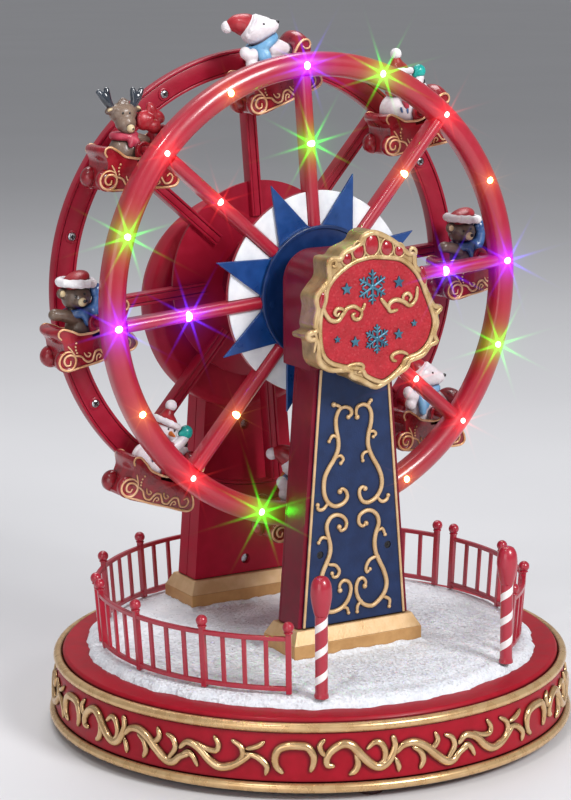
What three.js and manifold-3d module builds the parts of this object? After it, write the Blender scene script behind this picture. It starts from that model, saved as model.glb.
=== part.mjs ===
// Table-top ferris wheel for a christmas village: a round base with a snow deck, two towers,
// a turning wheel with eight sleigh gondolas, and the drive that turns it.
// Millimetres, +Z up, front of the piece towards -Y, origin under the middle of the base.

import * as THREE from 'three';
import { mergeVertices } from 'three/addons/utils/BufferGeometryUtils.js';
import Module from 'manifold-3d';

const wasm = await Module();
wasm.setup();

// Clearances and overruns shared by all pieces
const seatGap = 0.3;
const runGap = 0.3;
const cutOverrun = 1;
const weldTolerance = 1e-4;

// Base
const footHeight = 3;
const footRadius = 6.5;
const footInset = 10;
const footDegrees = [-107.5, -34.1, 39.3, 112.6, -174];
const footStubRadius = 2.5;
const footStubHeight = 1.4;
const plateThickness = 2;
const beadRadius = 2.6;
const lowerBeadCircle = 127;
const beadStep = 2.5;
const sideBandHeight = 21.6;
const sideBandSlope = 1.3;
const shellWall = 2.3;
const rimBandWidth = 7.2;
const rimBandRise = 1.1;
const deckSink = 2;
const footCircleRadius = lowerBeadCircle - footInset;
const upperBeadCircle = lowerBeadCircle - beadStep;
const shellBottomRadius = lowerBeadCircle - beadRadius - seatGap;
const shellTopRadius = upperBeadCircle - beadRadius - seatGap;
const shellBottom = footHeight + seatGap;
const lowerBeadHeight = shellBottom + beadRadius;
const sideBandFoot = lowerBeadHeight + beadRadius + seatGap;
const sideBandHead = sideBandFoot + sideBandHeight;
const upperBeadHeight = sideBandHead + seatGap + beadRadius;
const rimBandHeight = upperBeadHeight + beadRadius;
const snowRecessRadius = shellTopRadius - rimBandWidth;
const deckHeight = rimBandHeight + rimBandRise - deckSink;
const wireHoleRadius = 4;

// Snow
const snowEdgeHeight = 3.4;
const snowShelfHeight = 6.9;
const snowTopHeight = 7.9;
const snowBankWidth = 3.4;
const snowShelfWidth = 13;
const snowRiseWidth = 4;
const snowEdgeRound = 1.6;
const snowShelfOuter = snowRecessRadius - snowBankWidth;
const snowShelfInner = snowShelfOuter - snowShelfWidth;
const snowTopRadius = snowShelfInner - snowRiseWidth;
const snowBottom = deckHeight + seatGap;
const shelfHeight = snowBottom + snowShelfHeight - seatGap;
const snowTop = snowBottom + snowTopHeight - seatGap;

// Fence
const fenceInset = 10.7;
const fenceRadius = snowRecessRadius - fenceInset;
const fenceLean = 2.3;
const fenceHeight = 31.8;
const fenceBallRadius = 2.7;
const postWidth = 2.7;
const balusterWidth = 2.1;
const balusterThickness = 1.5;
const railWidth = 2;
const railHeight = 2.1;
const lowRailHeight = 1.9;
const highRailHeight = 26;
const fenceSpanDegrees = 67.5;
const fenceStartDegrees = [-54, 19.5, 93, 166.5];
const fencePanels = 3;
const balustersPerPanel = 3;
const railStepsPerPanel = 2;
const fenceNames = ['fence_front_right', 'fence_rear_right', 'fence_rear_left', 'fence_front_left'];

// Striped poles at the entrance
const poleSpread = 51;
const poleInset = 18.4;
const poleOut = snowRecessRadius - poleInset;
const poleShaftRadius = 2.95;
const poleFootRadius = 3.35;
const poleFootHeight = 2.2;
const poleShaftHeight = 37;
const knobHeight = 20;
const knobRadius = 4.9;
const knobProfileShares = [[0, 0.66], [0.2, 0.8], [0.6, 1], [0.85, 0.88], [0.97, 0.5], [1, 0]];

// Wheel
const axleHeight = 212.2;
const wheelMiddle = 20.25;
const wheelPhaseDegrees = 4.16;
const spokeCount = 8;
const innerSpace = 48.5;
const rimOuterRadius = 114.6;
const rimBand = 11.6;
const rimDepth = 9.2;
const rimCrown = 4.6;
const rimWall = 1.4;
const rimRoof = 3;
const spokeWidth = 6;
const spokeDepth = 8.7;
const spokeCrown = 3;
const spokeWall = 1.2;
const spokeRoof = 2;
const hubDiscRadius = 49.2;
const hubDiscThickness = 1.5;
const hubDiscSetback = 2.6;
const hubBossRadius = 10;
const coverInset = 0.4;
const coverThickness = 1.3;
const baseSegments = 36;
const rimSegments = 32;
const hubSegments = 24;
const crownSteps = 2;
const rimMiddleRadius = rimOuterRadius - rimBand / 2;
const rimInnerRadius = rimOuterRadius - rimBand;
const wheelWidth = innerSpace + rimDepth * 2;

// Wheel front dressing
const whiteDiscThickness = 1;
const starThickness = 1.5;
const starTipRadius = 59.5;
const starBaseMargin = 0.8;
const hubRingRadius = 33;
const hubRingThickness = 1.2;
const hubRingLipWidth = 1.8;
const hubRingLipHeight = 0.8;

// Lights
const lampRadius = 1.8;
const lampHeight = 5.2;
const lampTaper = 1.3;
const lampSegments = 6;
const rimLampCount = 16;
const spokeLampRadius = 72.1;
const stripThickness = 1;
const rimStripWidth = 5;
const spokeStripWidth = 2.4;
const spokeStripInner = 60;
const lampProud = 0.4;

// Axle, bearings and drive
const axleRadius = 3;
const axleFront = -38.5;
const axleBack = 71;
const spacerRadius = 13;
const spacerFlangeRadius = 22;
const spacerFlangeThickness = 2;
const bearingRadius = 6;
const bearingFlangeRadius = 8.5;
const bearingFlangeThickness = 1.2;
const bearingSeatLength = 4;
const slipRingRadius = 8;
const slipRingLength = 6;
const slipGrooveDepth = 1;
const brushSize = [12, 7, 8];
const couplingRadius = 5.5;
const couplingLength = 4.6;
const motorRadius = 24.5;
const motorDepth = 15.5;
const motorDrop = 13;
const drumCentreHeight = axleHeight - motorDrop;
const motorEarLength = 62;
const motorEarHeight = 10;
const motorEarThickness = 1.2;
const roundSegments = 12;

// Towers
const towerFrontMiddle = -31.6;
const towerBackMiddle = 71.8;
const towerDepth = 18.6;
const towerFootHalf = 30.9;
const towerTaper = 0.0793;
const towerWall = 2;
const towerBackThickness = 1.7;
const plinthHalf = 35.9;
const plinthDepth = 29.8;
const plinthBandHeight = 6.9;
const plinthSlopeHeight = 6.5;
const plinthShrink = 3.4;
const plinthBottom = snowTop + seatGap;
const towerBottom = plinthBottom + plinthBandHeight + plinthSlopeHeight + seatGap;
const headHalf = 27.3;
const headBelowAxle = 29.7;
const headAboveAxle = 24;
const headBottom = axleHeight - headBelowAxle;
const headTop = axleHeight + headAboveAxle;
const headCorner = 15;
const headReach = 6.4;
const headCornerSteps = 4;
const drumRadius = 55;
const drumFront = 56;
const drumChamfer = 4;
const drumBackInset = 5;
const drumBackTaper = 12;
const drumSegments = 36;

// Tower panel
const panelThickness = 0.8;
const panelMargin = 2.1;
const panelTrimWidth = 1.5;
const panelTrimProud = 0.6;
const panelTopGap = 1;
const panelHoleHeight = 92;
const panelHoleSpread = 19;
const panelHoleRadius = 2.2;

// Sign
const signHalf = 33;
const signBelowAxle = 38.5;
const signAboveAxle = 35.5;
const signBottom = axleHeight - signBelowAxle;
const signTop = axleHeight + signAboveAxle;
const signThickness = 14;
const signRecess = 3;
const signPlateThickness = 1.4;
const signPlateInset = 0.6;
const signOutlineShares = [
  [-0.07, 1], [-0.2, 0.98], [-0.28, 0.93], [-0.51, 0.89], [-0.6, 0.85], [-0.7, 0.85],
  [-0.78, 0.83], [-0.78, 0.73], [-0.89, 0.67], [-0.99, 0.61], [-0.97, 0.54], [-1.01, 0.44],
  [-1, 0.4], [-1.12, 0.38], [-1.1, 0.35], [-0.98, 0.33], [-0.94, 0.2], [-0.77, 0.14],
  [-0.44, 0.12], [-0.4, 0.08], [-0.24, 0.05], [-0.04, 0], [0.09, 0], [0.37, 0.06],
  [0.54, 0.1], [0.6, 0.14], [0.82, 0.17], [0.95, 0.23], [1.06, 0.25], [1.02, 0.3],
  [1.07, 0.37], [1.05, 0.43], [1.13, 0.47], [1.01, 0.49], [0.91, 0.57], [0.85, 0.63],
  [0.84, 0.7], [0.69, 0.76], [0.66, 0.84], [0.56, 0.85], [0.42, 0.9], [0.25, 0.95], [0.06, 0.99],
];
const signFieldShares = [
  [-0.51, 0.76], [-0.33, 0.8], [-0.08, 0.82], [0.18, 0.81], [0.41, 0.79], [0.6, 0.73],
  [0.72, 0.66], [0.81, 0.57], [0.88, 0.5], [0.96, 0.4], [0.93, 0.32], [0.85, 0.25],
  [0.69, 0.2], [0.5, 0.18], [0.44, 0.14], [0.34, 0.1], [0.15, 0.05], [0.02, 0.06], [-0.15, 0.1],
  [-0.24, 0.15], [-0.5, 0.17], [-0.74, 0.21], [-0.85, 0.28], [-0.88, 0.4], [-0.86, 0.5],
  [-0.79, 0.58], [-0.76, 0.65], [-0.66, 0.71],
];

// Sleighs
const sleighWidth = 20;
const sleighWall = 2;
const sleighLength = 43.7;
const sleighHeight = 26;
const sleighBack = 25.7;
const sleighDrop = 18.5;
const sleighProfileShares = [
  [0.03, 0.16], [0.1, 0], [0.86, 0], [0.93, 0.06], [0.965, 0.2], [0.94, 0.3], [0.92, 0.44],
  [0.97, 0.66], [1, 0.82], [0.985, 0.92], [0.95, 0.96], [0.9, 0.93], [0.84, 0.8], [0.75, 0.68],
  [0.66, 0.56], [0.55, 0.54], [0.41, 0.6], [0.3, 0.68], [0.2, 0.765], [0.12, 0.76], [0.09, 0.66],
  [0.09, 0.5], [0.045, 0.4], [0, 0.27],
];
const sleighCavityShares = [[0.17, 0.17], [0.78, 0.17], [0.85, 0.35], [0.84, 1.5], [0.17, 1.5]];
const earRadius = 3.8;
const trunnionRadius = 2;
const trunnionReach = 2.2;
const trunnionSegments = 6;
const pivotHoleSegments = 8;
const sleighTiltDegrees = [11, 9, 20, 0, 12.5, -19, 0, -2];

// Figures, as shares of the figure's height above the sleigh floor
const figureHeight = 43.5;
const figureSeatShare = 0.316;
const figureKinds = ['brown_bear', 'snowman', 'polar_bear', 'reindeer', 'brown_bear', 'snowman',
  'polar_bear', 'polar_bear'];
const bodyShares = [[-0.09, 0, 0.2], [0.2, 0.165, 0.2]];
const chestShares = [[-0.06, 0, 0.42], [0.165, 0.16, 0.2]];
const bearHeadShares = [[-0.05, 0, 0.7], [0.15, 0.15, 0.15]];
const bearSnoutShares = [[0.1, 0, 0.65], [0.11, 0.08, 0.075]];
const roundHeadShares = [[-0.03, 0, 0.66], [0.155, 0.155, 0.155]];
const noseShares = [[0.13, 0, 0.66], [0.08, 0.03, 0.03]];
const hatShares = [[-0.12, 0, 0.83], [0.15, 0.13, 0.1]];
const pomShares = [[-0.35, 0, 0.79], [0.055, 0.055, 0.06]];
const hatTailShares = [[-0.25, 0, 0.83], [0.12, 0.06, 0.06]];
const tallHatShares = [[-0.05, 0, 0.82], [0.13, 0.13, 0.1]];
const tallPomShares = [[-0.06, 0, 0.95], [0.055, 0.055, 0.05]];
const deerHeadShares = [[-0.08, 0, 0.68], [0.13, 0.12, 0.19]];
const deerSnoutShares = [[0.06, -0.02, 0.58], [0.11, 0.08, 0.08]];
const antlerShares = [[-0.1, 0.14, 0.9], [0.05, 0.045, 0.11]];
const earShares = [[-0.1, 0.14, 0.8], [0.05, 0.09, 0.05]];
const armShares = [[0.1, 0.13, 0.4], [0.13, 0.045, 0.06]];
const limbSegments = 6;
const limbRings = 4;

// Electrics in the base
const boardSize = [52, 36, 1.6];
const boardInset = 46.1;
const boardMiddle = shellBottomRadius - boardInset;
const chipSize = [14, 10, 3];
const capacitorRadius = 4;
const capacitorHeight = 9;
const socketSpread = 14;
const socketHeight = 18;
const jackRadius = 4.5;
const jackBore = 3.1;
const jackDepth = 9.6;
const jackLength = 16;
const switchSize = [14, 10, 7];
const switchKnobSize = [4, 12, 3];
const switchTravel = 4;
const switchKnobProud = 1.6;

// Materials
const red = { color: 0xb01828, roughness: 0.32, metalness: 0 };
const deepRed = { color: 0x8e1422, roughness: 0.38, metalness: 0 };
const gold = { color: 0xc0985a, roughness: 0.35, metalness: 0.6 };
const blue = { color: 0x12418a, roughness: 0.4, metalness: 0 };
const navy = { color: 0x243f63, roughness: 0.55, metalness: 0 };
const white = { color: 0xe9e9ec, roughness: 0.45, metalness: 0 };
const snow = { color: 0xe6eaf0, roughness: 0.8, metalness: 0 };
const glitterRed = { color: 0xa3141f, roughness: 0.3, metalness: 0.2 };
const steel = { color: 0xb8bcc0, roughness: 0.3, metalness: 1 };
const brass = { color: 0xc9a24a, roughness: 0.35, metalness: 1 };
const black = { color: 0x1c1c1e, roughness: 0.5, metalness: 0 };
const green = { color: 0x1f6b3a, roughness: 0.5, metalness: 0 };
const lamp = { color: 0xf4f0e4, roughness: 0.2, metalness: 0 };
const poleWhite = { color: 0xf2eeee, roughness: 0.3, metalness: 0 };
const figureColours = {
  polar_bear: { color: 0xf0efec, roughness: 0.5, metalness: 0 },
  brown_bear: { color: 0x6d4a34, roughness: 0.5, metalness: 0 },
  snowman: { color: 0xf3f4f6, roughness: 0.5, metalness: 0 },
  reindeer: { color: 0x8a6448, roughness: 0.5, metalness: 0 },
};

const root = new THREE.Group();
const wheel = new THREE.Group();
const turn = THREE.MathUtils.degToRad;

// Solids from closed geometries, and geometries from solids
function solid(geometry) {
  const bare = geometry.clone();
  for (const name of Object.keys(bare.attributes)) {
    if (name !== 'position') bare.deleteAttribute(name);
  }
  const merged = mergeVertices(bare, weldTolerance);
  const points = merged.attributes.position.array;
  const corners = merged.index.array;
  const faces = [];
  let volume = 0;
  const a = new THREE.Vector3();
  const b = new THREE.Vector3();
  const c = new THREE.Vector3();
  for (let i = 0; i < corners.length; i += 3) {
    const [p, q, r] = [corners[i], corners[i + 1], corners[i + 2]];
    if (p === q || q === r || r === p) continue;
    faces.push(p, q, r);
    a.fromArray(points, p * 3);
    b.fromArray(points, q * 3);
    c.fromArray(points, r * 3);
    volume += a.dot(b.cross(c));
  }
  if (volume < 0) faces.reverse();
  return new wasm.Manifold(new wasm.Mesh({
    numProp: 3,
    vertProperties: new Float32Array(points),
    triVerts: new Uint32Array(faces),
  }));
}

function joined(first, ...rest) {
  return rest.reduce((whole, piece) => whole.add(piece), first);
}

function cut(whole, ...tools) {
  return tools.reduce((left, tool) => left.subtract(tool), whole);
}

function piece(parent, name, body, look) {
  const mesh = body.getMesh();
  const geometry = new THREE.BufferGeometry();
  geometry.setAttribute('position', new THREE.BufferAttribute(new Float32Array(mesh.vertProperties), 3));
  geometry.setIndex(Array.from(mesh.triVerts));
  geometry.computeVertexNormals();
  const made = new THREE.Mesh(geometry, new THREE.MeshStandardMaterial(look));
  made.name = name;
  parent.add(made);
  return made;
}

// Basic forms. A profile is a closed list of [radius, height]; an outline a list of [x, z]
function turnedAboutY(profile, segments) {
  const loop = [...profile, profile[0]].map(([radius, height]) => new THREE.Vector2(radius, height));
  return new THREE.LatheGeometry(loop, segments);
}

function turnedAboutZ(profile, segments) {
  return turnedAboutY(profile, segments).rotateX(Math.PI / 2);
}

function block(xLow, xHigh, yLow, yHigh, zLow, zHigh) {
  const form = new THREE.BoxGeometry(xHigh - xLow, yHigh - yLow, zHigh - zLow);
  return form.translate((xLow + xHigh) / 2, (yLow + yHigh) / 2, (zLow + zHigh) / 2);
}

function rodAlongY(radius, yLow, yHigh, segments = roundSegments) {
  const form = new THREE.CylinderGeometry(radius, radius, yHigh - yLow, segments);
  return form.translate(0, (yLow + yHigh) / 2, 0);
}

function rodAlongZ(radius, zLow, zHigh, segments = roundSegments) {
  const form = new THREE.CylinderGeometry(radius, radius, zHigh - zLow, segments);
  return form.rotateX(Math.PI / 2).translate(0, 0, (zLow + zHigh) / 2);
}

function shapeOf(outline) {
  return new THREE.Shape(outline.map(([across, up]) => new THREE.Vector2(across, up)));
}

function plateAlongY(outline, yLow, yHigh) {
  const form = new THREE.ExtrudeGeometry(shapeOf(outline), { depth: yHigh - yLow, bevelEnabled: false });
  return form.rotateX(Math.PI / 2).translate(0, yHigh, 0);
}

function plateAlongZ(outline, zLow, zHigh) {
  const form = new THREE.ExtrudeGeometry(shapeOf(outline), { depth: zHigh - zLow, bevelEnabled: false });
  return form.translate(0, 0, zLow);
}

function arcPoints(centre, radius, fromDegrees, toDegrees, steps) {
  const points = [];
  for (let i = 0; i <= steps; i += 1) {
    const angle = turn(fromDegrees + ((toDegrees - fromDegrees) * i) / steps);
    points.push([centre[0] + radius * Math.cos(angle), centre[1] + radius * Math.sin(angle)]);
  }
  return points;
}

// Half of an ellipse over a flat bar, from one edge across the crown to the other
function crownPoints(middle, halfWidth, shoulder, rise, steps) {
  const points = [];
  for (let i = 0; i <= steps; i += 1) {
    const angle = (Math.PI * i) / steps;
    points.push([middle + halfWidth * Math.cos(angle), shoulder + rise * Math.sin(angle)]);
  }
  return points;
}

function eachSpoke(make) {
  return Array.from({ length: spokeCount }, (unused, index) => make((index * Math.PI * 2) / spokeCount, index));
}

// The base: bottom plate with moulded feet, shell, bead rings and snow deck
function addBase() {
  const plate = rodAlongZ(shellBottomRadius - shellWall - seatGap, shellBottom, shellBottom + plateThickness,
    baseSegments);
  const sockets = footDegrees.map((degrees, index) => {
    const angle = turn(degrees);
    const x = footCircleRadius * Math.cos(angle);
    const y = footCircleRadius * Math.sin(angle);
    const stub = rodAlongZ(footStubRadius, footHeight / 2, shellBottom + footStubHeight, limbSegments);
    const foot = piece(root, `rubber_foot_${index + 1}`,
      joined(solid(rodAlongZ(footRadius, 0, footHeight)), solid(stub)), black);
    foot.position.set(x, y, 0);
    const socketTop = shellBottom + plateThickness + cutOverrun;
    return solid(rodAlongZ(footStubRadius + seatGap, 0, socketTop, limbSegments).translate(x, y, 0));
  });
  piece(root, 'base_bottom_plate', cut(solid(plate), ...sockets), black);

  const bandFootRadius = lowerBeadCircle - beadRadius / 4;
  const bandHeadRadius = bandFootRadius - sideBandSlope;
  const bandTop = sideBandHead - seatGap;
  const bevel = rimBandRise;
  const outer = [
    [shellBottomRadius, shellBottom], [shellBottomRadius, sideBandFoot - seatGap],
    [bandFootRadius, sideBandFoot], [bandHeadRadius, bandTop], [shellTopRadius, sideBandHead],
    [shellTopRadius, rimBandHeight], [shellTopRadius - bevel, rimBandHeight + rimBandRise],
    [snowRecessRadius, rimBandHeight + rimBandRise], [snowRecessRadius, deckHeight], [0, deckHeight],
  ];
  const inner = [
    [0, deckHeight - shellWall], [shellTopRadius - shellWall, deckHeight - shellWall],
    [shellTopRadius - shellWall, bandTop - shellWall],
    [shellBottomRadius - shellWall, sideBandFoot], [shellBottomRadius - shellWall, shellBottom],
  ];
  const wireHoles = [towerFrontMiddle, towerBackMiddle].map((y) => {
    const hole = rodAlongZ(wireHoleRadius, 0, deckHeight + cutOverrun);
    return solid(hole.translate(0, y, 0));
  });
  const jackHole = rodAlongY(jackRadius + seatGap, 0, lowerBeadCircle).translate(-socketSpread, 0, socketHeight);
  const knobRoom = switchTravel / 2 + runGap;
  const knobSlot = block(socketSpread - switchKnobSize[0] / 2 - knobRoom, socketSpread
    + switchKnobSize[0] / 2 + knobRoom, 0, lowerBeadCircle, socketHeight - switchKnobSize[2] / 2 - runGap,
  socketHeight + switchKnobSize[2] / 2 + runGap);
  const shell = solid(turnedAboutZ([...outer, ...inner], baseSegments));
  piece(root, 'base_shell', cut(shell, ...wireHoles, solid(jackHole), solid(knobSlot)), red);

  const beadSteps = 6;
  const beadRing = (circle, height) => turnedAboutZ(
    arcPoints([circle, height], beadRadius, 0, 360 - 360 / beadSteps, beadSteps - 1), baseSegments);
  piece(root, 'base_bead_lower', solid(beadRing(lowerBeadCircle, lowerBeadHeight)), gold);
  piece(root, 'base_bead_upper', solid(beadRing(upperBeadCircle, upperBeadHeight)), gold);

  const snowRadius = snowRecessRadius - seatGap;
  const snowProfile = [
    [0, snowBottom], [snowRadius, snowBottom], [snowRadius, snowBottom + snowEdgeHeight - seatGap],
    [snowRadius - snowEdgeRound, shelfHeight - snowEdgeRound / 2], [snowShelfOuter, shelfHeight],
    [snowShelfInner, shelfHeight], [snowTopRadius, snowTop], [0, snowTop],
  ];
  const snowHoles = [towerFrontMiddle, towerBackMiddle].map((y) => {
    const hole = rodAlongZ(wireHoleRadius, 0, snowTop + cutOverrun);
    return solid(hole.translate(0, y, 0));
  });
  piece(root, 'snow_deck', cut(solid(turnedAboutZ(snowProfile, baseSegments)), ...snowHoles), snow);
}

// One fence segment: leaning posts with ball tops, balusters and two rails bent to the deck
function addFence(name, startDegrees) {
  const foot = shelfHeight + seatGap;
  const leanAngle = Math.atan2(fenceLean, fenceHeight);
  const radiusAt = (height) => fenceRadius + (fenceLean * height) / fenceHeight;
  const placeCount = fencePanels * (balustersPerPanel + 1);
  const chordShare = Math.cos(turn(fenceSpanDegrees / placeCount));
  const upright = (thickness, width, low, high, place) => {
    const angle = turn(startDegrees + (fenceSpanDegrees * place) / placeCount);
    const form = new THREE.BoxGeometry(thickness, width, high - low).translate(0, 0, (low + high) / 2);
    const radius = fenceRadius * (place % 2 === 0 ? 1 : chordShare);
    form.rotateY(leanAngle).translate(radius, 0, foot).rotateZ(angle);
    return solid(form);
  };
  const rail = (height) => {
    const middle = radiusAt(height);
    const steps = fencePanels * railStepsPerPanel;
    const end = startDegrees + fenceSpanDegrees;
    const outside = arcPoints([0, 0], middle + railWidth / 2, startDegrees, end, steps);
    const inside = arcPoints([0, 0], middle - railWidth / 2, end, startDegrees, steps);
    const low = foot + height - railHeight / 2;
    return solid(plateAlongZ([...outside, ...inside], low, low + railHeight));
  };
  const bodies = [rail(lowRailHeight), rail(highRailHeight)];
  for (let place = 0; place <= placeCount; place += 1) {
    if (place % (balustersPerPanel + 1) !== 0) {
      bodies.push(upright(balusterThickness, balusterWidth, lowRailHeight, highRailHeight, place));
      continue;
    }
    const angle = turn(startDegrees + (fenceSpanDegrees * place) / placeCount);
    bodies.push(upright(postWidth, postWidth, seatGap, fenceHeight - fenceBallRadius / 2, place));
    const ball = new THREE.SphereGeometry(fenceBallRadius, limbSegments, limbRings);
    ball.rotateX(Math.PI / 2).translate(radiusAt(fenceHeight), 0, foot + fenceHeight).rotateZ(angle);
    bodies.push(solid(ball));
  }
  piece(root, name, joined(...bodies), red);
}

function addPole(name, side) {
  const foot = shelfHeight + seatGap;
  const shaftTop = foot + poleShaftHeight;
  const profile = [
    [0, foot], [poleFootRadius, foot], [poleFootRadius, foot + poleFootHeight / 2],
    [poleShaftRadius, foot + poleFootHeight], [poleShaftRadius, shaftTop],
    ...knobProfileShares.map(([up, out]) => [knobRadius * out, shaftTop + knobHeight * up]),
  ];
  const pole = piece(root, name, solid(turnedAboutZ(profile, roundSegments)), poleWhite);
  pole.position.set(side * poleSpread, -poleOut, 0);
}

// Towers
function columnOutline(inset, bottom, top) {
  const halfAt = (height) => towerFootHalf - towerTaper * (height - towerBottom) - inset;
  return [[-halfAt(bottom), bottom], [halfAt(bottom), bottom], [halfAt(top), top], [-halfAt(top), top]];
}

function headOutline(inset) {
  const corner = headCorner - inset;
  const side = headHalf - headCorner;
  const shoulder = headTop - headCorner;
  return [
    [-headHalf + inset, headBottom + inset], [headHalf - inset, headBottom + inset],
    ...arcPoints([side, shoulder], corner, 0, 90, headCornerSteps),
    ...arcPoints([-side, shoulder], corner, 90, 180, headCornerSteps),
  ];
}

function addPlinth(name, middle) {
  const half = plinthDepth / 2;
  const low = block(-plinthHalf, plinthHalf, middle - half, middle + half, plinthBottom,
    plinthBottom + plinthBandHeight);
  const top = plinthBottom + plinthBandHeight + plinthSlopeHeight;
  const slope = new THREE.CylinderGeometry(Math.SQRT1_2, Math.SQRT1_2, plinthSlopeHeight, 4);
  slope.rotateY(Math.PI / 4).rotateX(Math.PI / 2);
  const spots = slope.attributes.position;
  for (let i = 0; i < spots.count; i += 1) {
    const shrink = spots.getZ(i) > 0 ? plinthShrink : 0;
    const x = Math.sign(Math.round(spots.getX(i) * 2)) * (plinthHalf - shrink);
    const y = Math.sign(Math.round(spots.getY(i) * 2)) * (half - shrink);
    spots.setXYZ(i, x, y, spots.getZ(i));
  }
  slope.translate(0, middle, top - plinthSlopeHeight / 2);
  const hole = rodAlongZ(wireHoleRadius, 0, top + cutOverrun).translate(0, middle, 0);
  piece(root, name, cut(joined(solid(low), solid(slope)), solid(hole)), gold);
}

function addFrontTower() {
  const front = towerFrontMiddle - towerDepth / 2;
  const back = towerFrontMiddle + towerDepth / 2;
  const split = back - towerBackThickness - seatGap;
  const headFront = front - headReach;
  const wall = towerWall;
  const columnTop = headBottom + wall;
  const shell = joined(solid(plateAlongY(columnOutline(0, towerBottom, columnTop), front, split)),
    solid(plateAlongY(headOutline(0), headFront, split)));
  const cavity = joined(
    solid(plateAlongY(columnOutline(wall, towerBottom + wall, columnTop + wall), front + wall, back)),
    solid(plateAlongY(headOutline(wall), headFront + wall, back)));
  piece(root, 'front_tower_shell', cut(shell, cavity), red);

  const cover = joined(solid(plateAlongY(columnOutline(0, towerBottom, columnTop), back - towerBackThickness, back)),
    solid(plateAlongY(headOutline(0), back - towerBackThickness, back)));
  const bearingHole = rodAlongY(bearingRadius + seatGap, 0, wheelWidth).translate(0, -wheelWidth, axleHeight);
  piece(root, 'front_tower_back', cut(cover, solid(bearingHole)), red);
  addBearing('front_bearing', back + seatGap, -1);
  addPlinth('front_tower_plinth', towerFrontMiddle);
  addPanel(front);
  addSign(headFront);
  const brushTop = axleHeight - slipRingRadius - runGap;
  const brushBody = block(-brushSize[0] / 2, brushSize[0] / 2, headFront + wall + seatGap,
    headFront + wall + seatGap + brushSize[1], brushTop - brushSize[2], brushTop);
  piece(root, 'brush_holder', solid(brushBody), black);
}

function addBearing(name, face, side) {
  const inner = axleRadius + runGap;
  const flange = face + side * -bearingFlangeThickness;
  const seat = face + side * bearingSeatLength;
  const profile = [[inner, flange], [bearingFlangeRadius, flange], [bearingFlangeRadius, face],
    [bearingRadius, face], [bearingRadius, seat], [inner, seat]];
  const bush = piece(root, name, solid(turnedAboutY(profile, roundSegments)), brass);
  bush.position.z = axleHeight;
}

function addPanel(front) {
  const face = front - seatGap;
  const bottom = towerBottom + seatGap;
  const top = headBottom - panelTopGap;
  const plate = solid(plateAlongY(columnOutline(panelMargin, bottom, top), face - panelThickness, face));
  const trimOut = columnOutline(panelMargin, bottom, top);
  const trimIn = columnOutline(panelMargin + panelTrimWidth, bottom - cutOverrun, top + cutOverrun);
  const proud = face - panelThickness - panelTrimProud;
  const trim = solid(plateAlongY(trimOut, proud, face - panelThickness / 2));
  const window = solid(plateAlongY(trimIn, proud - cutOverrun, face));
  const holes = [-1, 1].map((side) => {
    const hole = rodAlongY(panelHoleRadius, proud - cutOverrun, face + cutOverrun);
    return solid(hole.translate(side * panelHoleSpread, 0, panelHoleHeight));
  });
  piece(root, 'front_tower_panel', cut(joined(plate, cut(trim, window)), ...holes), navy);
}

function signLoop(shares, inset) {
  const reach = signTop - signBottom;
  return shares.map(([across, up]) => {
    const x = signHalf * across;
    const z = reach * up - reach / 2;
    const keep = 1 - inset / Math.hypot(x, z);
    return [x * keep, signBottom + reach / 2 + z * keep];
  });
}

function addSign(headFront) {
  const back = headFront - seatGap;
  const face = back - signThickness;
  const slab = solid(plateAlongY(signLoop(signOutlineShares, 0), face, back));
  const field = solid(plateAlongY(signLoop(signFieldShares, 0), face - cutOverrun, face + signRecess));
  piece(root, 'sign_frame', cut(slab, field), gold);
  const plateFront = face + signRecess - seatGap - signPlateThickness;
  const plate = plateAlongY(signLoop(signFieldShares, signPlateInset), plateFront,
    plateFront + signPlateThickness);
  piece(root, 'sign_panel', solid(plate), glitterRed);
}

function drumProfile(inset) {
  const back = towerBackMiddle + towerDepth / 2;
  const front = drumFront + inset;
  return [
    [0, front], [drumRadius - drumChamfer - inset / 2, front],
    [drumRadius - inset, drumFront + drumChamfer + inset / 2],
    [drumRadius - inset, back - drumBackTaper], [drumRadius - drumBackInset - inset / 2, back - inset],
    [0, back - inset],
  ];
}

function addRearTower() {
  const front = towerBackMiddle - towerDepth / 2;
  const back = towerBackMiddle + towerDepth / 2;
  const wall = towerWall;
  const drum = (inset) => solid(turnedAboutY(drumProfile(inset), drumSegments).translate(0, 0, drumCentreHeight));
  const top = drumCentreHeight;
  const whole = joined(solid(plateAlongY(columnOutline(0, towerBottom, top), front, back)), drum(0));
  const hollow = joined(
    solid(plateAlongY(columnOutline(wall, towerBottom + wall, top), front + wall, back - wall)), drum(wall));
  const wide = drumRadius * 2;
  const frontHalf = solid(block(-wide, wide, 0, towerBackMiddle - seatGap / 2, 0, axleHeight + wide));
  const backHalf = solid(block(-wide, wide, towerBackMiddle + seatGap / 2, back + wide, 0, axleHeight + wide));
  const skin = cut(whole, hollow);
  const bearingHole = rodAlongY(bearingRadius + seatGap, 0, towerBackMiddle).translate(0, 0, axleHeight);
  piece(root, 'rear_tower_front', cut(skin.intersect(frontHalf), solid(bearingHole)), deepRed);
  piece(root, 'rear_tower_back', skin.intersect(backHalf), deepRed);
  addBearing('rear_bearing', drumFront - seatGap, 1);
  addPlinth('rear_tower_plinth', towerBackMiddle);

  const earBack = drumFront + wall + seatGap + motorEarThickness;
  const ears = block(-motorEarLength / 2, motorEarLength / 2, earBack - motorEarThickness, earBack,
    drumCentreHeight - motorEarHeight / 2, drumCentreHeight + motorEarHeight / 2);
  const can = rodAlongY(motorRadius, earBack - motorEarThickness / 2, earBack + motorDepth, drumSegments / 2);
  can.translate(0, 0, drumCentreHeight);
  const room = rodAlongY(bearingRadius + bearingFlangeThickness, 0, axleBack + runGap);
  room.translate(0, 0, axleHeight);
  const motor = cut(joined(solid(ears), solid(can)), solid(room));
  piece(root, 'gear_motor', motor, steel);
}

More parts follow.
